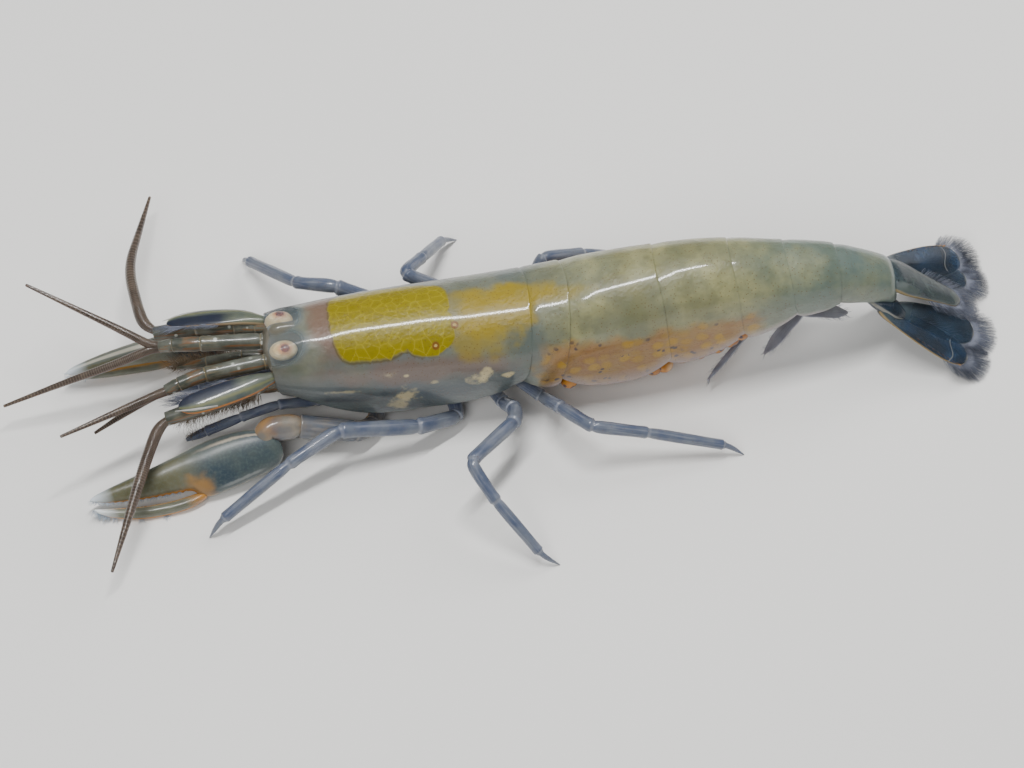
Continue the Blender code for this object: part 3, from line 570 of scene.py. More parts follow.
def brood(tree, skin, place, x, z, window):
    """The eggs behind the side flaps: amber haze, yolk blobs in cells 0.65 mm wide, and dark eye spots."""
    skin = coats(tree, skin, (times(tree, window, 0.82), clouds(tree, place, 1.1, "#8a560c", "#97702a")))
    waver = add(tree, "TexNoise", place, named={"Scale": 1.8, "Detail": 2.0}, out=1)
    lying = add(tree, "VectorMath", add(tree, "VectorMath", waver, (0.5, 0.5, 0.5), operation="SUBTRACT"),
                (0.3, 0.3, 0.0), add(tree, "CombineXYZ", x, z, 0.0), operation="MULTIPLY_ADD")
    egg, hue, middle = (add(tree, "TexVoronoi", lying, named={"Scale": 1.5, "Randomness": 0.85}, out=k,
                            voronoi_dimensions="2D") for k in range(3))
    chance = [add(tree, "SeparateColor", hue, out=k) for k in range(3)]
    yolk = add(tree, "MapRange", egg, 0.52, 0.2, 0.0, 1.0, interpolation_type="SMOOTHSTEP")
    yolk = times(tree, window, yolk, add(tree, "MapRange", chance[0], 0.2, 0.8, 0.1, 0.95))
    rim = times(tree, window, add(tree, "MapRange", egg, 0.42, 0.62, 0.0, 0.2))
    skin = coats(tree, skin, (yolk, "#ae8400"), (rim, "#b08a58"))
    away = add(tree, "VectorMath", lying, middle, operation="SUBTRACT")
    eyed = add(tree, "MapRange", chance[1], 0.55, 0.6, 0.0, 1.0)
    for first, second in ((0, 1), (2, 0)):
        # Each eye spot lies up to 0.25 mm off the middle of its egg both ways.
        across, up = (times(tree, add(tree, "Math", chance[k], 0.5, operation="SUBTRACT"), 0.5)
                      for k in (first, second))
        gap = add(tree, "VectorMath", away, add(tree, "CombineXYZ", across, up, 0.0), operation="SUBTRACT")
        gap = add(tree, "VectorMath", gap, operation="LENGTH", out=1)
        eye = times(tree, window, add(tree, "MapRange", gap, 0.06, 0.11, 0.9, 0.0), eyed)
        skin = coats(tree, skin, (eye, "#221a2c"))
    return skin


def shell_pattern(tree):
    place = body_place(tree)
    x, y, z, folded = both_sides(tree, place)
    level = times(tree, add(tree, "Math", follow_map(tree)[1], 0.5, operation="PINGPONG"), 2.0)
    wobble = ragged(tree, place, 0.9, 3.0, 0.35)
    skin = add(tree, "ValToRGB", add(tree, "MapRange", x, 0.0, TISSUE_LENGTH, 0.0, 1.0), stops=TISSUE)
    behind = times(tree, add(tree, "MapRange", x, 11.0, 12.5, 0.25, 1.0),
                   add(tree, "MapRange", x, 18.0, 24.0, 1.0, 0.4))
    pale = add(tree, "TexNoise", place, named={"Scale": 0.5, "Detail": 4.0, "Roughness": 0.6})
    pale = times(tree, add(tree, "MapRange", pale, 0.45, 0.7, 0.0, 0.95), behind)
    skin = coats(tree, skin, (pale, "#9a986a"))
    skin = clouds(tree, place, 0.42, skin, "#6d7468", 0.5, 0.68, 0.4, 3.0, (7.0, 3.0, 5.0))
    skin = clouds(tree, place, 2.2, skin, "#4a4d3c", 0.45, 0.72, 0.3, 3.0)
    # Faint bands of muscle across the abdomen, about 1.3 mm apart.
    stretched = add(tree, "VectorMath", place, (1.0, 0.25, 0.25), operation="MULTIPLY")
    skin = clouds(tree, stretched, 0.8, skin, "#4c5643", 0.5, 0.68, 0.35, 2.0)
    # The gill chambers are clear and grey low on the sides of the carapace.
    gills = times(tree, add(tree, "MapRange", z, 4.4, 3.2, 0.0, 0.75, interpolation_type="SMOOTHSTEP"),
                  add(tree, "MapRange", x, 10.8, 9.8, 0.0, 1.0))
    skin = coats(tree, skin, (gills, "#4a5358"))
    for centre, reach, hue, share in TISSUE_PATCHES:
        skin = coats(tree, skin, (times(tree, patch(tree, folded, centre, reach, 0.9, wobble), share), hue))
    skin = ovary(tree, skin, place, x, y, z, wobble)
    uneven = ragged(tree, place, 2.2, 3.0, 0.9, 0.25, 0.75)
    for centre, reach, share in CREAM_SPOTS:
        cream = patch(tree, folded, centre, reach, 1.1, uneven)
        skin = coats(tree, skin, (times(tree, cream, share), "#c2b388"))
    for centre in PORES:
        ring = patch(tree, place, centre, (0.16, 0.16, 0.2), 0.3)
        middle = patch(tree, place, centre, (0.08, 0.06, 0.1), 0.5)
        skin = coats(tree, skin, (times(tree, ring, 0.9), "#6b4212"), (times(tree, middle, 0.8), "#b39a5c"))
    # The side flaps let the eggs show through, and their lower edge is a whitish band 0.3 mm wide.
    height = add(tree, "Math", z, times(tree, wobble, 0.8), operation="ADD")
    window = times(tree, add(tree, "MapRange", height, 4.75, 4.05, 0.0, 1.0, interpolation_type="SMOOTHSTEP"),
                   band(tree, add(tree, "Math", x, wobble, operation="ADD"), 10.7, 11.5, 19.4, 20.4))
    skin = brood(tree, skin, place, x, z, window)
    flaps = times(tree, add(tree, "MapRange", level, 0.15, 0.02, 0.0, 0.75),
                  band(tree, x, 10.9, 11.4, 22.6, 23.3))
    # Pigment cells: brown specks 0.04 mm wide, about 0.14 mm apart.
    speck = add(tree, "TexVoronoi", place, named={"Scale": 7.4, "Randomness": 0.9})
    speck = times(tree, add(tree, "MapRange", speck, 0.13, 0.21, 0.7, 0.0),
                  add(tree, "MapRange", x, 1.8, 3.2, 0.0, 1.0))
    # The hood is clear over the eyes.
    clear = times(tree, patch(tree, folded, (0.62, 0.75, 5.1), (1.0, 0.85, 0.8), 0.5), 0.8)
    skin = coats(tree, skin, (flaps, "#a79c9f"), (speck, "#5a3f22"), (clear, "#7d8c94"))
    alpha = 1.0
    for loss in (clear, add(tree, "MapRange", x, 0.1, 1.6, 0.3, 0.0), times(tree, window, 0.15)):
        alpha = add(tree, "Math", alpha, loss, operation="SUBTRACT")
    alpha = add(tree, "Math", alpha, 0.18, operation="MAXIMUM")
    return {"Base Color": skin, "Alpha": alpha, "Normal": wet_bump(tree, place, 0.75)}


# Living shrimp cuticle: a clear, wet skin over soft tissue, so gloss sits on top of deep, cloudy colour.
SHELL = dressed("Cuticle, clear over soft tissue", shell_pattern, **FLESHY)


def limb_pattern(body, mottle, pale, wide, share, under=None, glint=None):
    """Clear cuticle over muscle, paler at each joint. It has an amber lower edge where under is given, and
    amber strands inside and painted glints, pale flecks of painted highlight, where glint is given."""
    def strands(tree, t, across, squeeze, spread, offset, scale):
        """Noise drawn out along the limb."""
        drawn = add(tree, "CombineXYZ", times(tree, t, squeeze), times(tree, across, spread), offset)
        return add(tree, "TexNoise", drawn, named={"Scale": scale, "Detail": 2.0})

    def build(tree):
        place = body_place(tree)
        t, across = round_map(tree)
        # 0 at each joint and 0.5 halfway between two.
        whole = add(tree, "Math", times(tree, t, JOINTS_PER_MAP), 0.5, operation="ADD")
        whole = add(tree, "Math", whole, 1.0, 0.0, operation="WRAP")
        near = add(tree, "Math", add(tree, "Math", whole, 0.5, operation="SUBTRACT"), operation="ABSOLUTE")
        ring = add(tree, "MapRange", near, wide, 0.01, 0.0, share, interpolation_type="SMOOTHSTEP")
        skin = coats(tree, clouds(tree, place, 1.4, body, mottle),
                     (strands(tree, t, across, 12.0, 2.4, 0.0, 1.6), 0.5, 0.66, 0.35, pale))
        if glint:
            # Painted glints: pale flecks of painted highlight 0.16 mm wide, a few in each millimetre.
            far, chance = (add(tree, "TexVoronoi", place, named={"Scale": 2.6}, out=k) for k in range(2))
            painted_glint = times(tree, add(tree, "MapRange", far, 0.16, 0.26, 0.8, 0.0),
                          add(tree, "MapRange", add(tree, "SeparateColor", chance), 0.3, 0.4, 0.0, 1.0))
            skin = coats(tree, skin, (strands(tree, t, across, 9.0, 3.2, 2.0, 1.7), 0.54, 0.63, 0.6, under),
                         (painted_glint, glint))
        skin = coats(tree, skin, (ring, pale))
        if under:
            skin = coats(tree, skin, (across, -0.8, -0.97, 0.8, under))
        speck = add(tree, "TexVoronoi", place, named={"Scale": 3.8})
        skin = coats(tree, skin, (speck, 0.12, 0.08, 0.4, "#5d4630"))
        return {"Base Color": skin, "Normal": wet_bump(tree, place, 0.2)}
    return build


# Thin cuticle over clear muscle: cold blue-grey, wet and slightly see-through.
LEG = dressed("Leg cuticle, clear blue grey",
              limb_pattern("#465066", "#636974", "#8b8e96", 0.04, 0.4), **FLESHY)
ARM = dressed("Arm cuticle, clear rose grey",
              limb_pattern("#6a655f", "#525a66", "#8f867b", 0.04, 0.35, "#9a7434"), **FLESHY)
# The head limbs' pale flecks are painted glints.
HEAD_LIMB = dressed("Head limb cuticle, clear olive",
                    limb_pattern("#3c3f38", "#5e6057", "#7f7052", 0.025, 0.55, "#74481c", "#c4c7be"),
                    **FLESHY)
SPINE = dressed("Spine cuticle, clear white",
                limb_pattern("#8f8d86", "#a9a8a4", "#c4c2bc", 0.02, 0.3), **FLESHY)


def tissue_pattern(scale, under, over, low=0.35, high=0.65, folds=0.0, inner=()):
    """Two colours in clouds, then those of inner: (scale, colour, from, to, share, detail, shift)."""
    def build(tree):
        place = body_place(tree)
        skin = clouds(tree, place, scale, under, over, low, high)
        for width, *cloud in inner:
            skin = clouds(tree, place, width, skin, *cloud)
        return {"Base Color": skin} | ({"Normal": wet_bump(tree, place, folds)} if folds else {})
    return build


# The wrist of the claw is clear, with cream and amber tissue inside it.
WRIST = dressed("Wrist cuticle, clear over amber tissue", tissue_pattern(
    1.1, "#67645e", "#877e70", 0.4, 0.6, 0.4,
    ((0.9, "#96703f", 0.5, 0.66, 0.75, 3.0, (4.0, 1.0, 2.0)),
     (0.7, "#3f4c60", 0.5, 0.65, 0.6, 2.0, (1.0, 8.0, 5.0))),
), **FLESHY)
# Muscle and gut under the plates: dull, grey and rose, and as wet as the cuticle.
FLESH = dressed("Soft tissue, grey rose", tissue_pattern(1.0, "#5b5a4e", "#70695d", folds=0.3), **FLESHY)
# Setae: hollow hairs of clear cuticle, blue grey in the fan, brown on the mouthparts, white on the claws.
SETA, BRISTLE, WHITE_HAIR = (
    dressed(name, tissue_pattern(0.9, dark, light), Roughness=0.35, IOR=1.5)
    for name, dark, light in (
        ("Setae, blue grey and clear", "#4b4f5a", "#7c8190"),
        ("Bristles, brown and clear", "#3f3124", "#7a6a54"),
        ("Claw hairs, clear white", "#a9b6c4", "#d5dce4"),
    )
)


def claw_pattern(tree):
    place = body_place(tree)
    t, across = round_map(tree)
    wavy = add(tree, "Math", across, ragged(tree, place, 5.0, 3.0, 0.02), operation="ADD")
    palm = clouds(tree, place, 0.7, "#323f48", "#454e4d", 0.38, 0.6)
    finger = clouds(tree, place, 0.9, "#4f4d36", "#62614d")
    skin = coats(tree, palm, (t, 0.38, 0.55, 1.0, finger))
    skin = clouds(tree, place, 9.0, skin, "#5f6c66", 0.45, 0.7, 0.25, 2.0)
    # A cream line inside each margin, and a paler one below.
    upper = times(tree, band(tree, wavy, 0.7, 0.76, 0.79, 0.85), band(tree, t, 0.05, 0.1, 0.3, 0.46), 0.85)
    lower = times(tree, band(tree, wavy, -0.88, -0.83, -0.78, -0.72),
                  band(tree, t, 0.1, 0.15, 0.3, 0.38), 0.6)
    amber = times(tree, add(tree, "MapRange", across, -0.84, -0.96, 0.0, 0.9),
                  add(tree, "MapRange", t, 0.36, 0.5, 0.0, 1.0))
    # The joint of the movable finger shows through as an orange patch.
    spot = add(tree, "CombineXYZ", times(tree, t, 8.3), across, 0.0)
    joint = patch(tree, spot, (3.75, -0.62, 0.0), (0.5, 0.42, 1.0), 1.3, ragged(tree, place, 1.6, 2.0, 0.5))
    skin = coats(
        tree, skin,
        (add(tree, "Math", wavy, operation="ABSOLUTE"), 0.82, 0.93, 0.6, "#646b69"),
        (upper, "#aba08f"), (lower, "#888c8a"),
        (add(tree, "Math", across, operation="ABSOLUTE"), 0.965, 0.99, 0.75, "#b7b2a2"),
        (amber, "#b97d24"), (times(tree, joint, 0.6), "#a27538"), (t, 0.88, 0.98, 0.9, "#cfd8df"),
    )
    return {"Base Color": skin, "Normal": wet_bump(tree, place, 0.2)}


def finger_pattern(tree):
    place = body_place(tree)
    t, across = round_map(tree)
    skin = coats(
        tree, clouds(tree, place, 1.3, "#5a5c4e", "#6c6d5f"),
        (across, -0.74, -0.92, 0.95, "#c27e10"), (across, 0.8, 0.95, 0.85, "#a87c34"),
        (t, 0.2, 0.03, 0.9, "#ac7426"), (t, 0.78, 0.95, 0.9, "#dde2e4"),
    )
    return {"Base Color": skin, "Normal": wet_bump(tree, place, 0.2)}


# The claws' thicker cuticle: cloudy blue-grey in the palm, cream along the rims, amber at the hinge.
CLAW = dressed("Claw cuticle, blue grey with a cream rim", claw_pattern,
               **(FLESHY | {"Coat_Weight": 0.25, "Coat_Roughness": 0.25}))
FINGER = dressed("Claw finger cuticle, cream and amber", finger_pattern, **FLESHY)


def feeler_pattern(tree):
    t, across = round_map(tree)
    # One ring each 0.12 mm.
    ring = add(tree, "Math", times(tree, t, JOINTS_PER_MAP * FEELER_RINGS), 0.5, operation="PINGPONG")
    skin = coats(
        tree, clouds(tree, body_place(tree), 1.5, "#3a3029", "#50453b", detail=2.0),
        (ring, 0.12, 0.0, 0.6, "#261c15"), (ring, 0.35, 0.5, 0.45, "#85786c"),
        # Rust-brown in the middle of both flanks.
        (add(tree, "Math", across, operation="ABSOLUTE"), 0.35, 0.1, 0.45, "#5c341f"),
    )
    return {"Base Color": skin}


# Feelers: rings of brown cuticle, glossy where each ring swells.
FEELER = dressed("Feeler cuticle, ringed brown", feeler_pattern, **FLESHY)


def blade_pattern(deep, light, rim, outer_rim=None, crossed=False):
    """A thin clear plate: dark in depth, ribbed, with pale margins and where crossed a joint line."""
    def build(tree):
        place = body_place(tree)
        t, across = round_map(tree)
        width = add(tree, "Math", across, operation="ABSOLUTE")
        ribs = add(tree, "CombineXYZ", times(tree, t, 1.2), times(tree, across, 4.0), 0.0)
        ribs = add(tree, "TexNoise", ribs, named={"Scale": 2.0, "Detail": 2.0})
        skin = coats(
            tree, clouds(tree, place, 1.0, deep, light, 0.4, 0.7),
            (ribs, 0.55, 0.7, 0.35, "#2f4357"), (t, 0.3, 0.08, 0.6, "#4c5b60"),
            (width, 0.965, 0.99, 0.8, rim), (t, 0.975, 0.992, 0.9, rim),
        )
        if outer_rim:
            skin = coats(tree, skin, (across, 0.93, 0.98, 0.85, outer_rim))
        if crossed:
            # The joint line bends from the outer margin towards the tip and back.
            curl = add(tree, "Math", times(tree, across, 3.2), operation="SINE")
            bent = add(tree, "Math", t, times(tree, curl, 0.03), operation="SUBTRACT")
            skin = coats(tree, skin, (times(tree, band(tree, bent, 0.795, 0.8, 0.805, 0.81), 0.7), rim))
        alpha = add(tree, "MapRange", width, 0.93, 0.98, 0.76, 1.0)
        return {"Base Color": skin, "Alpha": alpha, "Normal": wet_bump(tree, place, 0.25)}
    return build


# Tail fan and swimming legs: plates of clear cuticle, dark blue in depth, pale along the margin.
BLADE = dressed("Fan cuticle, dark clear blue", blade_pattern("#18222c", "#2c3e50", "#7f7d72"), **FLESHY)
OUTER_BLADE = dressed("Fan cuticle, jointed with an amber edge",
                      blade_pattern("#18222e", "#26405c", "#7f7d72", "#86703c", True), **FLESHY)
TELSON_SKIN = dressed("Fan cuticle, middle plate with a tan edge",
                      blade_pattern("#1c2830", "#414d48", "#85703f"), **FLESHY)
SWIMMERET = dressed("Swimming leg cuticle, clear blue grey",
                    blade_pattern("#6a6c79", "#868893", "#a3a3ab"), **FLESHY)


def scale_pattern(tree):
    place = body_place(tree)
    t, across = round_map(tree)
    inner = times(tree, add(tree, "MapRange", across, 0.2, -0.1, 0.0, 0.9),
                  add(tree, "MapRange", t, 0.3, 0.45, 0.0, 1.0))
    stripe = times(tree, band(tree, across, 0.2, 0.35, 0.45, 0.6), 0.5)
    skin = coats(
        tree, clouds(tree, place, 1.2, "#434b49", "#5b604f"),
        (inner, "#151b30"), (stripe, "#70703f"),
        (across, 0.88, 0.95, 0.95, "#9c5d18"), (across, -0.93, -0.97, 0.6, "#a28a6a"),
    )
    return {"Base Color": skin, "Normal": wet_bump(tree, place, 0.2)}


# The antenna's scale: a stiff clear plate with an amber outer rim, dark where nothing lies under it.
SCALE = dressed("Antenna scale cuticle, clear with an amber rim", scale_pattern, **FLESHY)
EYE = Vector((0.7, 0.74, 4.66))
EYE_RADII = (0.58, 0.42, 0.38)
PUPIL = tuple(EYE + Vector((0.06, 0.13, 0.35)))


def eye_pattern(tree):
    place = body_place(tree)
    folded = both_sides(tree, place)[3]
    outer = times(tree, patch(tree, folded, PUPIL, (0.3, 0.27, 0.3), 0.6), 0.75)
    # Facets of the eye's window, drawn 0.07 mm apart.
    facet = add(tree, "TexVoronoi", place, named={"Scale": 14.0})
    core = coats(tree, "#3a0a04", (facet, 0.25, 0.6, 1.0, "#8a3a22"))
    skin = coats(tree, clouds(tree, place, 3.0, "#ecd9ae", "#d2b57e"), (outer, "#c98552"),
                 (patch(tree, folded, PUPIL, (0.19, 0.17, 0.22), 0.45), core))
    return {"Base Color": skin, "Normal": wet_bump(tree, place, 0.4)}


# The eye: cream pigment with a small red-brown window of facets, wet under the hood.
EYE_SKIN = dressed("Eye, cream with a red-brown window", eye_pattern,
                   **(FLESHY | {"Subsurface_Weight": 0.1, "Subsurface_Scale": 0.05 * MM}))


def egg_pattern(tree):
    u, v = follow_map(tree)
    skin = coats(tree, clouds(tree, body_place(tree), 1.6, "#8f5200", "#b0741a"),
                 (v, 0.7, 0.9, 0.6, "#cdb28a"))
    for spot in (-0.075, 0.075):
        off = add(tree, "CombineXYZ", add(tree, "Math", u, spot, operation="SUBTRACT"),
                  times(tree, add(tree, "Math", v, 0.5, operation="SUBTRACT"), 0.5), 0.0)
        far = add(tree, "VectorMath", off, operation="LENGTH", out=1)
        skin = coats(tree, skin, (far, 0.045, 0.03, 0.95, "#241a2b"))
    return {"Base Color": skin}


# Late eggs: amber yolk in a clear skin, each with the two dark eyes of the young inside.
EGG = dressed("Egg, amber yolk with eye spots", egg_pattern, **(FLESHY | {"Subsurface_Scale": 0.15 * MM}))


# Body

# Each plate: its front edge at the top and at the bottom, its rear edge at both, its columns of faces, how
# far its corners are cut back, its tuck under the plate in front, and its lap over the one behind.
PLATES = (
    ("carapace", 0.0, 0.45, 10.65, 10.1, 84, 0.25, 0.0, 0.2),
    ("abdomen_1", 11.05, 10.65, 12.2, 11.6, 24, 0.3, 0.5, 0.22),
    ("abdomen_2", 12.6, 12.1, 15.8, 16.3, 36, 0.7, 0.42, 0.2),
    ("abdomen_3", 16.1, 16.6, 18.9, 19.35, 32, 0.55, 0.36, 0.2),
    ("abdomen_4", 19.2, 19.65, 21.2, 21.6, 26, 0.45, 0.36, 0.22),
    ("abdomen_5", 21.6, 22.05, 23.4, 23.35, 26, 0.35, 0.42, 0.2),
)
ROWS = 60
PLATE_WALL = 0.07
# The share of the half outline that is the upright side.
FLANK = 0.36


def outline(x, level, lift, swell):
    """The body's half outline at x, from the lower edge at level 0 to the middle of the back at 1."""
    width, crown = along(HALF_WIDTH, x) * swell, along(CROWN, x)
    widest = along(BACK_HEIGHT, x) - crown
    low = min(along(LOWER_EDGE, x) + lift, widest - 0.45)
    if level < FLANK:
        f = 1 - level / FLANK
        return width * (1 - 0.055 * f**2), widest + (low - widest) * f
    a = (level - FLANK) / (1 - FLANK) * math.pi / 2
    return width * math.cos(a) ** 0.92, widest + crown * swell * math.sin(a)


def plates():
    for name, front_top, front_low, rear_top, rear_low, columns, corner, tuck, lap in PLATES:
        def place(u, v):
            sign = 1 if v > 0.5 else -1
            level = 1 - abs(2 * v - 1)
            drop = (1 - level) ** 1.3
            front = front_top + (front_low - front_top) * drop - tuck
            rear = rear_top + (rear_low - rear_top) * drop + lap
            x = front + (rear - front) * u
            swell = 1 - 0.045 * max(0.0, (0.3 - u) / 0.3) ** 1.5 if tuck else 1.0
            y, z = outline(x, level, corner * abs(2 * u - 1) ** 3, swell)
            if name == "carapace" and level > 0.5:
                # The hood swells over each eye and dips between them, and its front edge is notched there.
                eye = hump(x, 0.75, 0.75) * hump(y, 0.86, 0.55)
                z += 0.22 * eye - 0.16 * hump(x, 0.5, 0.9) * hump(y, 0.0, 0.36)
                x += 0.22 * hump(y, 0.0, 0.4) * max(0.0, 1 - u * 12)
                y += 0.08 * eye
            return Vector((x, sign * y, z))

        finish(new(sheet, columns, ROWS, place), name, SHELL, wall=PLATE_WALL)


def last_somite():
    start = 23.25

    def place(t, turn):
        x = start + (SOMITE_6_END - start) * t
        tuck = 0.08 * max(0.0, (0.25 - t) / 0.25) + 0.3 * max(0.0, (t - 0.88) / 0.12) ** 2
        crown = along(CROWN, x)
        height = (crown if math.sin(turn) > 0 else 1.15 * (1 - 0.2 * t)) * (1 - tuck)
        return Vector((x, along(HALF_WIDTH, x) * (1 - tuck) * math.cos(turn),
                       along(BACK_HEIGHT, x) - crown + height * math.sin(turn)))

    finish(new(tube, 22, 36, place), "abdomen_6", SHELL)


def soft_body():
    """The tissue inside the plates. It closes the body from below, and holds the eyes in front."""
    start, end, head_top = -0.1, 25.6, 4.42

    def place(t, turn):
        x = start + (end - start) * t
        nose = math.sqrt(max(0.0, 1 - max(0.0, 1 - (x - start) / 0.7) ** 2))
        draw_in = min(0.35 + 0.65 * nose, 0.4 + 4 * math.sqrt(max(0.0, min(1 - t, 0.05))))
        rise = min(max((x - 1.15) / 0.8, 0.0), 1.0)
        rise = rise * rise * (3 - 2 * rise)
        top = head_top + (along(BACK_HEIGHT, x) - 0.28 - head_top) * rise
        low = along(STERNUM, x) + (0.05 if x < 22 else 0.0)
        y = (along(HALF_WIDTH, x) - 0.3) * draw_in * math.cos(turn)
        z = (top + low) / 2 + (top - low) / 2 * draw_in * math.sin(turn)
        if math.sin(turn) > 0:
            z += (1 - rise) * (0.42 * hump(y, 0.0, 0.3) + 0.62 * hump(y, 0.4, 0.32)) * nose
        return Vector((x, y, z))

    finish(new(tube, 110, 36, place), "soft_body", FLESH, False)


def eyes():
    for word, sign in SIDES:
        bm = bmesh.new()
        matrix = Matrix.Translation(side(EYE, sign)) @ Matrix.Diagonal((*EYE_RADII, 1.0))
        bmesh.ops.create_uvsphere(bm, u_segments=32, v_segments=20, radius=1.0, matrix=matrix)
        finish(bm, "eye_" + word, EYE_SKIN)


# Walking legs

LEG_RADII = {
    3: (0.3, 0.3, 0.33, 0.35, 0.28, 0.24, 0.1),
    4: (0.3, 0.28, 0.3, 0.34, 0.3, 0.26, 0.22, 0.1),
    5: (0.28, 0.26, 0.28, 0.3, 0.26, 0.22, 0.1),
}
LEGS = {
    -1: {
        3: ((7.35, 1.0), (7.4, 1.1, 0.9), (7.6, 2.25, 0.62), (5.89, 3.05, 1.4), (2.5, 3.35, 2.3),
            (0.39, 4.35, 1.9), (-2.75, 6.0, 0.75), (-3.2, 6.2, 0.02)),
        4: ((8.9, 1.0), (8.95, 1.15, 1.2), (9.46, 2.2, 1.05), (9.8, 2.9, 1.65), (9.71, 3.88, 2.2),
            (7.49, 6.1, 2.9), (8.29, 7.5, 2.05), (9.93, 9.5, 0.55), (10.6, 9.68, 0.02)),
        5: ((9.75, 0.9), (9.9, 1.05, 1.45), (11.1, 2.15, 1.05), (11.63, 3.2, 1.75),
            (12.69, 4.7, 2.25), (14.9, 4.93, 1.65), (18.3, 5.37, 0.55), (18.9, 5.55, 0.02)),
    },
    1: {
        3: ((7.35, 1.0), (7.35, 1.1, 0.9), (7.0, 2.3, 0.6), (5.6, 3.0, 1.5), (3.3, 3.65, 2.6),
            (1.82, 4.25, 2.3), (-0.05, 7.1, 0.5), (-0.15, 7.45, 0.02)),
        4: ((8.9, 1.0), (8.95, 1.15, 1.15), (8.75, 2.45, 0.92), (8.0, 3.1, 1.9), (6.17, 3.64, 2.9),
            (7.08, 4.8, 2.2), (8.28, 6.76, 0.65), (8.9, 7.1, 0.02)),
        5: ((9.75, 0.9), (9.9, 1.05, 1.45), (10.95, 2.15, 0.95), (11.45, 3.0, 1.85),
            (11.94, 3.62, 2.8), (13.7, 4.1, 2.1), (16.3, 4.6, 0.5), (16.8, 4.7, 0.02)),
    },
}
SECOND_LEGS = {
    -1: ((5.9, 0.8), (5.85, 0.75, 1.1), (4.6, 0.42, 0.8), (1.7, 1.18, 1.45), (0.3, 1.48, 2.0),
         (-1.3, 1.78, 1.85), (-2.9, 2.02, 1.45), (-3.6, 2.1, 1.2)),
    1: ((5.9, 0.8), (5.85, 0.75, 1.1), (4.6, 0.42, 0.75), (1.5, 0.8, 0.95), (0.3, 0.85, 1.0),
        (-1.3, 0.85, 0.85), (-2.9, 0.85, 0.7), (-3.6, 0.8, 0.6)),
}
SECOND_LEG_RADII = (0.26, 0.25, 0.24, 0.23, 0.22, 0.21, 0.22, 0.08)
# The last article of a leg is this much of its neighbour's thickness, and ends in a tip of this radius.
LEG_SLIM, LEG_TIP = 0.66, 0.03


def walking_legs():
    for word, sign in SIDES:
        bm = new(limb, rooted(SECOND_LEGS[sign], sign), SECOND_LEG_RADII)
        finish(bm, "leg_2_" + word, LEG)
        for number, joints in LEGS[sign].items():
            radii = spaced(LEG_RADII[number], len(joints))[:-1] + [LEG_TIP]
            bm = new(limb, rooted(joints, sign), radii, slim=LEG_SLIM)
            finish(bm, f"leg_{number}_{word}", LEG)


# Claws

# Outline stations: (distance from the wrist end, edge on the fixed finger's side, edge on the movable
# finger's side, half thickness). The edges are offsets from the claw's axis.
PALM = (
    (0.0, 0.42, -0.1, 0.28), (0.25, 0.82, -0.42, 0.42), (0.7, 1.1, -0.6, 0.53), (1.2, 1.24, -0.7, 0.58),
    (1.9, 1.3, -0.83, 0.6), (2.7, 1.27, -0.94, 0.6), (3.3, 1.19, -0.98, 0.56), (3.65, 1.12, -0.88, 0.52),
    (3.95, 1.05, -0.6, 0.48), (4.3, 0.97, -0.52, 0.45), (5.1, 0.81, -0.45, 0.42), (6.0, 0.64, -0.37, 0.36),
    (6.8, 0.5, -0.26, 0.29), (7.5, 0.36, -0.12, 0.21), (7.9, 0.25, 0.02, 0.13), (8.1, 0.15, 0.09, 0.03),
)
FINGER_SHAPE = (
    (3.45, -0.74, -0.98, 0.12), (3.6, -0.72, -1.06, 0.26), (3.85, -0.72, -1.14, 0.33),
    (4.2, -0.74, -1.24, 0.36), (4.8, -0.76, -1.28, 0.36), (5.5, -0.72, -1.25, 0.33),
    (6.2, -0.64, -1.16, 0.29), (6.9, -0.5, -0.97, 0.24), (7.5, -0.38, -0.72, 0.17),
    (7.9, -0.28, -0.46, 0.1), (8.02, -0.26, -0.32, 0.03),
)
PALM_EDGE, FINGER_EDGE = ([(t, edge) for t, _, edge, _ in table] for table in (PALM, FINGER_SHAPE))
BOW_START, BOW_LENGTH = 3.2, 4.9
CLAWS = {
    -1: {
        "wrist": (0.24, -3.16, 1.02), "tip": (-7.75, -4.2, 0.6), "across": (0.0, 0.819, 0.574), "bow": 0.0,
        "arm": ((4.5, 1.0), (4.45, 1.15, 0.85), (4.1, 2.1, 0.62), (3.5, 2.6, 0.92), (1.0, 2.3, 1.45)),
        "carpus": ((1.3, 2.29, 1.42), (0.95, 2.3, 1.48), (0.35, 2.34, 1.55), (-0.3, 2.45, 1.62),
                   (-0.6, 2.8, 1.4)),
    },
    1: {
        "wrist": (-0.05, 2.75, 1.45), "tip": (-8.05, 2.1, 0.92), "across": (0.0, -0.2, 0.98), "bow": 0.3,
        "arm": ((4.5, 1.0), (4.45, 1.15, 0.85), (4.1, 2.05, 0.62), (3.6, 2.55, 0.9), (1.75, 2.5, 1.35)),
        "carpus": ((2.05, 2.48, 1.33), (1.7, 2.5, 1.37), (1.1, 2.6, 1.5), (0.5, 2.7, 1.5),
                   (-0.1, 2.75, 1.45)),
    },
}
ARM_RADII = (0.28, 0.29, 0.35, 0.44, 0.5)
CARPUS_RADII = (0.2, 0.46, 0.54, 0.5, 0.38)
TEETH = 30
# Where the tufts of hair stand on the movable finger, and how many hairs each claw has.
TUFTS = (5.2, 6.3, 6.9, 7.3, 7.6, 7.8, 7.9, 8.0)
TUFT_HAIRS, TIP_HAIRS, GAPE_HAIRS = 150, 90, 260


def teeth(inner):
    """Low teeth along the inner edge of a finger; inner is 1 or -1, the edge that they stand on."""
    def ripple(t, c):
        if t < 0.52 or t > 0.96 or c * inner < 0.75:
            return 1.0
        return 1 + 0.18 * (c * inner - 0.75) * (math.sin(t * TEETH * TURN) + 0.3)
    return ripple


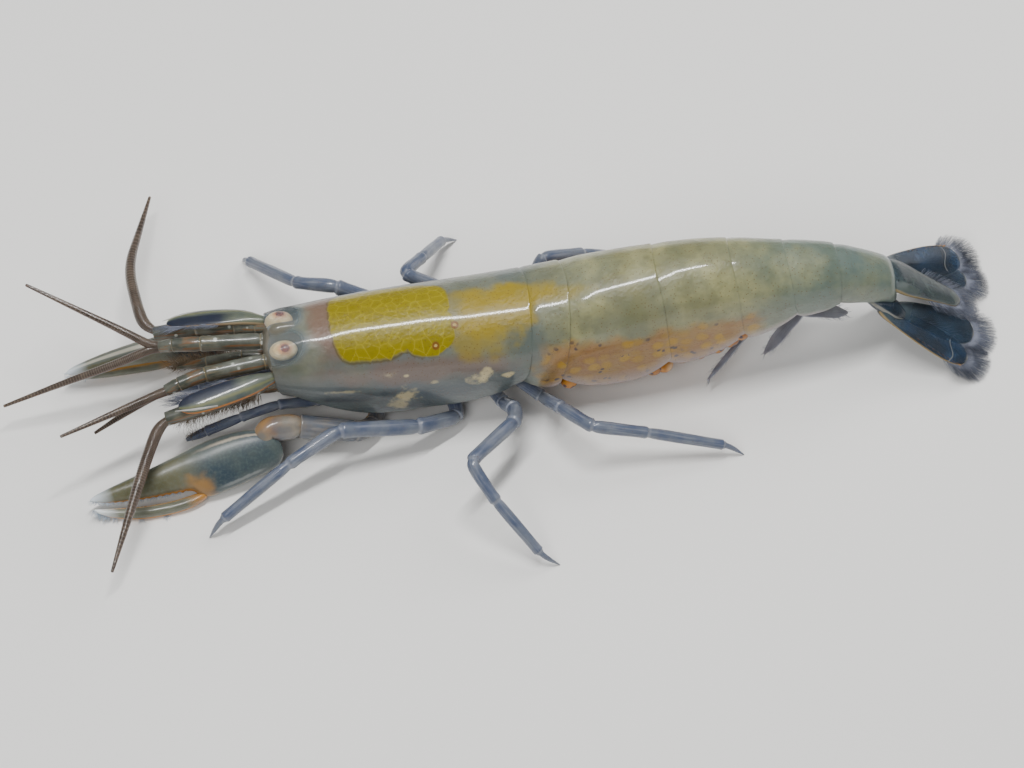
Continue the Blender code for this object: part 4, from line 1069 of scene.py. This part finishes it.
def claws():
    for word, sign in SIDES:
        claw = CLAWS[sign]
        wrist = Vector(claw["wrist"])
        heading = (Vector(claw["tip"]) - wrist).normalized()
        across = square_to(Vector(claw["across"]), heading)
        out = heading.cross(across)

        def spot(t, offset):
            share = min(max((t - BOW_START) / BOW_LENGTH, 0.0), 1.0)
            return wrist + heading * t + across * (offset + claw["bow"] * math.sin(math.pi * share))

        for name, table, material, sides, rings, inner in (
            ("palm_", PALM, CLAW, 36, 150, -1), ("movable_finger_", FINGER_SHAPE, FINGER, 28, 110, 1),
        ):
            stations = [(spot(t, (a + b) / 2), (a - b) / 2, d) for t, a, b, d in table]
            bm = new(oval, stations, across, sides, rings, teeth(inner), heading)
            finish(bm, name + word, material)
        bones = [(p, r, r) for p, r in zip(mirrored(claw["carpus"], sign), CARPUS_RADII)]
        finish(new(oval, bones, UP, 24, 20), "carpus_" + word, WRIST)
        bm = new(limb, rooted(claw["arm"], sign), ARM_RADII, 20, article=STALK_ARTICLE)
        finish(bm, "arm_" + word, ARM)
        # Tufts under the movable finger, hairs on the fixed finger's tip, and short bristles in the gape.
        bm = hair_mesh()
        for _ in range(TUFT_HAIRS):
            t = draw.choice(TUFTS) + draw.uniform(-0.08, 0.08)
            root = spot(t, along(FINGER_EDGE, t) + 0.03)
            lean = across * draw.uniform(-1.0, -0.5) + heading * draw.uniform(-0.2, 0.7)
            lean += out * draw.uniform(-0.6, 0.6)
            hair(bm, root, root + lean * draw.uniform(0.2, 0.42), 0.012)
        for _ in range(TIP_HAIRS):
            t = draw.uniform(7.3, 8.1)
            root = spot(t, along(PALM_EDGE, t) + 0.03)
            lean = heading * draw.uniform(0.0, 0.8) - across * draw.uniform(0.3, 0.9)
            lean += out * draw.uniform(-0.5, 0.5)
            hair(bm, root, root + lean * draw.uniform(0.12, 0.25), 0.01)
        for _ in range(GAPE_HAIRS):
            t = draw.uniform(4.4, 7.8)
            root = spot(t, along(PALM_EDGE, t) + 0.02)
            tip = root - across * draw.uniform(0.08, 0.18) + heading * draw.uniform(-0.05, 0.08)
            hair(bm, root, tip, 0.012)
        finish(bm, "claw_hairs_" + word, WHITE_HAIR, False, smooth=0)


# Head limbs

ANTENNA_STALK = (
    (0.9, 1.2, 3.55), (-0.3, 1.42, 3.6), (-0.9, 1.6, 3.52), (-2.6, 1.95, 3.25), (-4.35, 2.15, 2.92),
)
ANTENNA_RADII = (0.3, 0.36, 0.38, 0.36, 0.3)
SCALE_BLADE = (
    ((0.2, 1.4, 3.85), 0.22, 0.2), ((-0.7, 1.68, 3.92), 0.42, 0.22), ((-1.7, 1.88, 3.86), 0.5, 0.18),
    ((-2.8, 2.05, 3.72), 0.48, 0.15), ((-3.4, 2.1, 3.63), 0.38, 0.12), ((-3.7, 2.1, 3.58), 0.2, 0.08),
    ((-3.8, 2.1, 3.57), 0.05, 0.03),
)
# The blade's y, z and half width by the distance in front of the carapace.
SCALE_TRACKS = [[(-p[0], (p[1], p[2], w)[k]) for p, w, d in SCALE_BLADE] for k in range(3)]
SCALE_SPINE = ((-2.2, 2.36, 3.72), (-3.1, 2.38, 3.66), (-3.95, 2.26, 3.56))
SCALE_SPINE_RADII = (0.07, 0.07, 0.01)
SCALE_HAIRS = 170
FLAGELLA = {
    -1: ((-4.15, -2.12, 2.95), (-4.7, -2.5, 2.85), (-5.14, -3.32, 2.65), (-5.87, -4.9, 2.25),
         (-7.29, -8.09, 1.3)),
    1: ((-4.2, 2.18, 2.94), (-4.7, 2.75, 2.85), (-4.85, 3.6, 2.8), (-5.01, 6.02, 2.4), (-3.66, 10.41, 1.3)),
}
FLAGELLUM_RADII = (0.16, 0.26, 0.26, 0.23, 0.07)
ANTENNULE_STALK = (
    (1.0, 0.42, 3.7), (0.1, 0.5, 3.74), (-2.75, 0.79, 3.74), (-3.7, 1.0, 3.58), (-4.2, 1.1, 3.42),
)
ANTENNULE_RADII = (0.26, 0.34, 0.32, 0.29, 0.24)
ANTENNULE_WHIPS = {
    -1: (((-4.1, -1.12, 3.42), (-4.56, -1.24, 3.42), (-5.6, -1.6, 3.42), (-8.66, -2.6, 3.28)),
         ((-4.1, -1.05, 3.36), (-4.56, -1.14, 3.3), (-5.4, -1.35, 3.0), (-7.27, -2.1, 2.5))),
    1: (((-4.1, 1.12, 3.42), (-4.56, 1.24, 3.42), (-5.6, 1.9, 3.75), (-9.28, 4.2, 4.6)),
        ((-4.1, 1.05, 3.36), (-4.56, 1.14, 3.3), (-6.0, 1.0, 2.75), (-7.97, 0.9, 2.15), (-10.8, 0.6, 1.35))),
}
WHIP_RADII = (0.2, 0.2, 0.17, 0.07)
MAXILLIPED = (
    (2.7, 0.55), (1.6, 0.66, 1.93), (0.3, 0.74, 2.3), (-0.83, 0.8, 2.4), (-2.4, 0.95, 2.15),
    (-3.6, 1.05, 1.85),
)
MAXILLIPED_RADII = (0.26, 0.26, 0.28, 0.28, 0.24, 0.06)
# The jaw leg's brush, and the comb on the second leg's small claw: hairs, where they stand in joints, their
# spread in x, outwards and in z, how far root and tip lie from the limb's middle, and their radius.
BRUSH = (1000, (2.6, 5.0), ((-0.9, 0.1), (0.2, 1.0), (-0.9, 0.1)), 0.2, (0.5, 1.0), 0.015)
COMB = (130, (5.4, 6.9), ((-0.5, 0.2), (-0.3, 0.6), (0.3, 1.0)), 0.16, (0.3, 0.5), 0.011)


def head_limbs():
    for word, sign in SIDES:
        def stalk(name, joints, radii, sides=20):
            finish(new(limb, joints, radii, sides, article=STALK_ARTICLE), name + word, HEAD_LIMB)

        stalk("antenna_", mirrored(ANTENNA_STALK, sign), ANTENNA_RADII)
        lean = Vector((0.0, sign, -0.3))
        blade = [(side(p, sign), w, d) for p, w, d in SCALE_BLADE]
        finish(new(oval, blade, lean, 24, 50), "antenna_scale_" + word, SCALE, False)
        bm = new(limb, mirrored(SCALE_SPINE, sign), SCALE_SPINE_RADII, 10, 1.0, None)
        finish(bm, "antenna_scale_spine_" + word, SPINE, False)
        # Setae round the end of the scale and along its inner edge.
        bm = hair_mesh()
        for _ in range(SCALE_HAIRS):
            x = draw.uniform(-3.75, -1.6)
            y, z, width = (along(track, -x) for track in SCALE_TRACKS)
            root = side((x, y, z), sign) - lean.normalized() * width * 0.95
            ahead = Vector((-1.0, -sign * draw.uniform(-0.1, 0.35), draw.uniform(-0.25, 0.05)))
            hair(bm, root, root + ahead * draw.uniform(0.3, 0.45) * (1.0 if x > -3 else 2.0), 0.012)
        finish(bm, "antenna_scale_setae_" + word, SETA, False, smooth=0)
        finish(new(ringed, FLAGELLA[sign], FLAGELLUM_RADII), "antenna_flagellum_" + word, FEELER)
        stalk("antennule_", mirrored(ANTENNULE_STALK, sign), ANTENNULE_RADII)
        bm = bmesh.new()
        for joints in ANTENNULE_WHIPS[sign]:
            ringed(bm, joints, spaced(WHIP_RADII, len(joints)))
        finish(bm, "antennule_flagella_" + word, FEELER)
        jaw_leg = rooted(MAXILLIPED, sign)
        stalk("maxilliped_", jaw_leg, MAXILLIPED_RADII, 16)
        bm = hair_mesh()
        for joints, (count, where, spread, foot, reach, radius) in (
            (jaw_leg, BRUSH), (rooted(SECOND_LEGS[sign], sign), COMB),
        ):
            for _ in range(count):
                # The last hairs stop just short of the limb's last joint.
                middle = on_path(joints, min(draw.uniform(*where), len(joints) - 1.001), BEND)
                x, y, z = (draw.uniform(*limits) for limits in spread)
                out = side((x, y, z), sign).normalized()
                hair(bm, middle + out * foot, middle + out * draw.uniform(*reach), radius)
        finish(bm, "jaw_bristles_" + word, BRISTLE, False, smooth=0)


# Tail fan

TELSON = (
    ((25.1, 0.0, 3.7), 0.74, 0.42), ((25.9, 0.0, 3.5), 0.8, 0.4), ((26.5, 0.0, 3.1), 0.88, 0.3),
    ((27.3, 0.0, 2.45), 0.72, 0.24), ((28.2, 0.0, 1.7), 0.55, 0.2), ((28.75, 0.0, 1.25), 0.42, 0.16),
    ((28.95, 0.0, 1.08), 0.12, 0.1),
)
BLADE_SHAPE = (
    (-0.1, 0.14, 0.2), (-0.05, 0.26, 0.26), (0.0, 0.34, 0.26), (0.1, 0.45, 0.18), (0.3, 0.58, 0.13),
    (0.6, 0.7, 0.1), (0.82, 0.66, 0.09), (0.94, 0.45, 0.07), (0.985, 0.22, 0.05), (1.0, 0.06, 0.03),
)
# Root, tip and the way across each blade, and where its fringe starts on the outer and the inner edge.
TAIL_FAN = {
    "uropod_outer_left": ((25.6, -1.15, 2.5), (28.85, -2.5, 0.36), (0.25, -0.8, -0.3), 0.72, 0.35),
    "uropod_inner_left": ((26.2, -0.95, 2.35), (29.35, -1.35, 0.45), (0.15, -0.8, -0.4), 0.45, 0.5),
    "uropod_outer_right": ((26.0, 1.05, 2.75), (29.5, 2.35, 0.75), (0.1, 0.8, 0.1), 0.72, 0.35),
    "uropod_inner_right": ((26.3, 0.85, 2.45), (29.6, 1.45, 0.55), (0.15, 0.8, -0.1), 0.45, 0.5),
}
MARGIN_SPINES = 9
FRINGE_REACH, FRINGE_END, EDGE_HAIRS = 1.25, 31.1, 330


def tail_fan():
    fringe = hair_mesh()
    finish(new(oval, TELSON, ACROSS, 24, 40), "telson", TELSON_SKIN)
    edged = [(TELSON, ACROSS, 0.35, 0.35)]
    for name, (root, tip, across, outer_from, inner_from) in TAIL_FAN.items():
        root, tip, across = Vector(root), Vector(tip), Vector(across).normalized()
        stations = [(root.lerp(tip, t), w, d) for t, w, d in BLADE_SHAPE]
        outer = "outer" in name
        finish(new(oval, stations, across, 28, 60), name, OUTER_BLADE if outer else BLADE)
        edged.append((stations, across, outer_from, inner_from))
        if outer:
            # Spines along the outer margin, the largest at the joint line.
            bm = bmesh.new()
            heading = (tip - root).normalized()
            widths = [(t, w) for t, w, d in BLADE_SHAPE]
            for k in range(MARGIN_SPINES):
                t = 0.3 + 0.06 * k
                base = root.lerp(tip, t) + across * along(widths, t) * 0.93
                size = 0.16 + 0.012 * k
                point = base + heading * size + across * size * 0.35
                point.z = max(point.z, 0.06)
                limb(bm, (base, base.lerp(point, 0.5), point), (0.04, 0.03, 0.006), 6, 1.0, None)
            finish(bm, name + "_spines", FINGER, False)
    for word, sign in SIDES:
        # The stem carries both blades of its side.
        outer, inner = (Vector(TAIL_FAN[f"uropod_{name}_{word}"][0]) for name in ("outer", "inner"))
        end = outer.lerp(inner, 0.35) + Vector((0.5, sign * 0.1, -0.25))
        knee = side((25.3, 0.75, 2.9), sign)
        stem = ((side((24.9, 0.55, 3.1), sign), 0.3, 0.3), (knee, 0.42, 0.4),
                (end.lerp(knee, 0.3), 0.44, 0.34), (end, 0.26, 0.2))
        finish(new(oval, stem, ACROSS), "uropod_stem_" + word, BLADE, False)
    for stations, across, *edges in edged:
        start, end = Vector(stations[2][0]), Vector(stations[-1][0])
        heading, length = (end - start).normalized(), (end - start).length
        across = square_to(across, heading)
        widths = [((Vector(p) - start).dot(heading) / length, w) for p, w, d in stations]
        corner = along(widths, 0.9)
        for edge, first in zip((1, -1), edges):
            for k in range(EDGE_HAIRS):
                if k % 2:
                    # Round the end of the blade.
                    width = corner * draw.random()
                    t = 0.9 + 0.095 * math.sqrt(1 - (width / corner) ** 2)
                else:
                    t = first + (0.95 - first) * draw.random() ** 0.7
                    width = along(widths, t)
                root = start + heading * (length * t) + across * (edge * width * 0.96)
                fan = (t - first) / (1.0 - first)
                lean = (0.75 - 0.35 * fan) * edge * width / corner + draw.uniform(-0.07, 0.07)
                reach = FRINGE_REACH * (0.45 + 0.55 * fan) * draw.uniform(0.8, 1.0)
                tip = root + (heading + across * lean).normalized() * reach + UP * draw.uniform(-0.08, 0.08)
                tip.x = min(tip.x, FRINGE_END + draw.uniform(-0.25, 0.0))
                hair(fringe, root, tip, 0.008)
    finish(fringe, "tail_fringe", SETA, False, smooth=0)


# Under the abdomen

# Each swimmeret: its somite, the root's x and y, the knee, and the tip of each of its blades.
SWIMMERETS = (
    (1, (11.7, 0.82), (11.9, 0.95, 2.0), ((12.2, 1.1, 1.1),)),
    (2, (13.9, 0.8), (14.4, 0.82, 2.0), ((15.0, 0.95, 0.85),)),
    (3, (17.2, 0.62), (17.5, 0.62, 2.4), ((17.9, 0.8, 1.3),)),
    (4, (20.1, 0.5), (20.1, 0.6, 2.0), ((17.95, 2.1, 0.62),)),
    (5, (22.2, 0.42), (22.1, 0.6, 2.75), ((20.45, 1.33, 0.9), (24.05, 0.8, 2.35))),
)
SWIMMERET_SHAPE = ((0.0, 0.2, 0.2), (0.5, 0.25, 0.2), (1.0, 0.34, 0.14))
SWIMMERET_BLADE = ((0.0, 0.34, 0.14), (0.35, 0.38, 0.1), (0.75, 0.32, 0.08), (1.0, 0.05, 0.03))
SLENDER_BLADE = ((0.0, 0.3, 0.14), (0.15, 0.17, 0.12), (0.75, 0.13, 0.1), (1.0, 0.04, 0.03))
BLADE_HAIRS = 60
EGG_START, EGG_END = 12.3, 19.6
EGG_RADIUS = 0.4
# From ring to ring and from row to row of the brood, and the eggs across it.
RING_STEP, ROW_STEP, EGGS_ACROSS = 0.68, 0.58, 6


def swimmerets():
    for somite, (x, y), knee, tips in SWIMMERETS:
        blade = SLENDER_BLADE if somite == 4 else SWIMMERET_BLADE
        widths = [(t, w) for t, w, d in blade]
        for word, sign in SIDES:
            root, bend = Vector((x, sign * y, along(STERNUM, x) + 0.05)), side(knee, sign)
            bm = bmesh.new()
            for end in mirrored(tips, sign):
                stations = [(root.lerp(bend, t), w, d) for t, w, d in SWIMMERET_SHAPE]
                stations += [(bend.lerp(end, t), w, d) for t, w, d in blade[1:]]
                oval(bm, stations, ACROSS, 16, 28)
            finish(bm, f"swimmeret_{somite}_{word}", SWIMMERET)
            bm = hair_mesh()
            for end in mirrored(tips, sign):
                heading = (end - bend).normalized()
                for _ in range(BLADE_HAIRS):
                    t = draw.uniform(0.3, 1.0)
                    edge = draw.choice((-1, 1))
                    foot = bend.lerp(end, t) + ACROSS * (edge * along(widths, t) * 0.9)
                    out = (heading + Vector((0.0, edge * 0.5, draw.uniform(-0.2, 0.2)))).normalized()
                    hair(bm, foot, foot + out * draw.uniform(0.15, 0.35), 0.01)
            finish(bm, f"swimmeret_setae_{somite}_{word}", SETA, False, smooth=0)


def unit_egg():
    """An egg of radius 1, its map round and up the z axis, with u 0 on its x side."""
    bm = bmesh.new()
    follow = bm.loops.layers.uv.new("Follow")
    bmesh.ops.create_uvsphere(bm, u_segments=20, v_segments=12, radius=1.0)
    for face in bm.faces:
        turns = [math.atan2(loop.vert.co.y, loop.vert.co.x) / TURN for loop in face.loops]
        wraps = max(turns) - min(turns) > 0.5
        for turn, loop in zip(turns, face.loops):
            rise = 0.5 + math.asin(max(-1.0, min(1.0, loop.vert.co.z))) / math.pi
            loop[follow].uv = (turn + (1.0 if wraps and turn < 0 else 0.0), rise)
    return mesh_of(bm, "egg unit")


def eggs():
    """The brood: eggs packed in the channel under the abdomen, in rows that follow its sides."""
    bm = bmesh.new()
    bm.loops.layers.uv.new("Follow")
    unit = unit_egg()
    middle = (EGGS_ACROSS - 1) / 2
    for ring in range(int((EGG_END - EGG_START) / RING_STEP) + 1):
        x = EGG_START - 0.05 + ring * RING_STEP
        half = along(HALF_WIDTH, x) * 0.95 - PLATE_WALL - EGG_RADIUS * 0.9
        low = along(LOWER_EDGE, x) - (0.12 if x > 16 else -0.05)
        top = along(STERNUM, x) - 0.1
        rows = max(2, int((top - low) / ROW_STEP) + 1)
        for row in range(rows):
            z = low + 0.15 + (top - low - 0.3) * row / (rows - 1)
            # Only the lowest row is filled. Above it the eggs line both sides.
            for k in range(EGGS_ACROSS) if row == 0 else (0, EGGS_ACROSS - 1):
                y = half * (k - middle) / middle
                centre = Vector((x + draw.uniform(-0.14, 0.14) + 0.34 * (row % 2),
                                 y + draw.uniform(-0.08, 0.08), z + draw.uniform(-0.1, 0.1)))
                # The eye spots lie on the egg's x side, and most eggs turn it outwards.
                out = Vector((draw.uniform(-0.9, 0.9), 1.3 * y / half,
                              draw.uniform(-0.7, 0.6) - (0.8 if abs(k - middle) < 2 else 0.0)))
                turned = out.to_track_quat("X", "Z").to_matrix().to_4x4()
                turned @= Matrix.Rotation(draw.uniform(0, TURN), 4, "X")
                radii = [EGG_RADIUS * share for share in (0.95, 0.95, draw.uniform(0.95, 1.1))]
                stamp(bm, unit, Matrix.Translation(centre) @ turned @ Matrix.Diagonal((*radii, 1.0)))
    finish(bm, "egg_mass", EGG, smooth=0)


# Stage

def floor_pattern(tree):
    place = add(tree, "TexCoord", out=3)
    return {"Base Color": clouds(tree, place, 40.0, "#e0dfdc", "#e6e5e2", 0.0, 1.0, detail=3.0)}


def stage():
    bm = bmesh.new()
    bmesh.ops.create_grid(bm, x_segments=1, y_segments=1, size=1.0)
    floor = placed("floor", mesh_of(bm, "floor"))
    # Matt paper, pale grey.
    floor.data.materials.append(dressed("Paper, pale grey", floor_pattern, Roughness=0.9))


# The camera's place, its turn about z and its drop, both in degrees, and its lens in mm.
CAMERA_PLACE = (-8.008, -115.984, 166.830)
CAMERA_TURN, CAMERA_DROP = 8.9, 55.0
CAMERA_LENS = 173.2
# Lamps: (place in mm, aimed at in mm, size across and along in metres, watts).
LAMPS = (
    ((2.0, 12.0, 170.0), (10.0, 0.0, 3.0), 0.11, 0.008, 0.3),
    ((-70.0, -130.0, 150.0), (8.0, 0.0, 2.0), 0.1, 0.1, 0.24),
    ((110.0, 80.0, 100.0), (12.0, 0.0, 2.0), 0.1, 0.1, 0.15),
)
SKY = 0.195


def aim(holder, place, ahead):
    holder.location = PLACE @ Vector(place)
    holder.rotation_euler = ahead.to_track_quat("-Z", "Y").to_euler()


def camera():
    data = bpy.data.cameras.new("camera")
    data.lens = CAMERA_LENS
    data.sensor_width = 36.0
    data.clip_start = 0.01
    holder = placed("camera", data)
    turn, drop = math.radians(CAMERA_TURN), math.radians(CAMERA_DROP)
    ahead = (math.sin(turn) * math.cos(drop), math.cos(turn) * math.cos(drop), -math.sin(drop))
    aim(holder, CAMERA_PLACE, Vector(ahead))
    bpy.context.scene.camera = holder


def lights():
    for k, (place, target, width, length, watts) in enumerate(LAMPS):
        data = bpy.data.lights.new(f"lamp_{k}", "AREA")
        data.shape = "RECTANGLE"
        data.size, data.size_y = width, length
        data.energy = watts
        lamp = placed(f"lamp_{k}", data)
        # Only the long narrow lamp shows in the gloss, as a streak down the back.
        lamp.visible_glossy = k == 0
        aim(lamp, place, Vector(target) - Vector(place))
    world = bpy.data.worlds.new("soft studio")
    world.use_nodes = True
    background = world.node_tree.nodes["Background"]
    background.inputs["Color"].default_value = colour("#e8eaee")
    background.inputs["Strength"].default_value = SKY
    bpy.context.scene.world = world


camera()
plates()
last_somite()
soft_body()
eyes()
walking_legs()
claws()
head_limbs()
tail_fan()
swimmerets()
eggs()
stage()
lights()
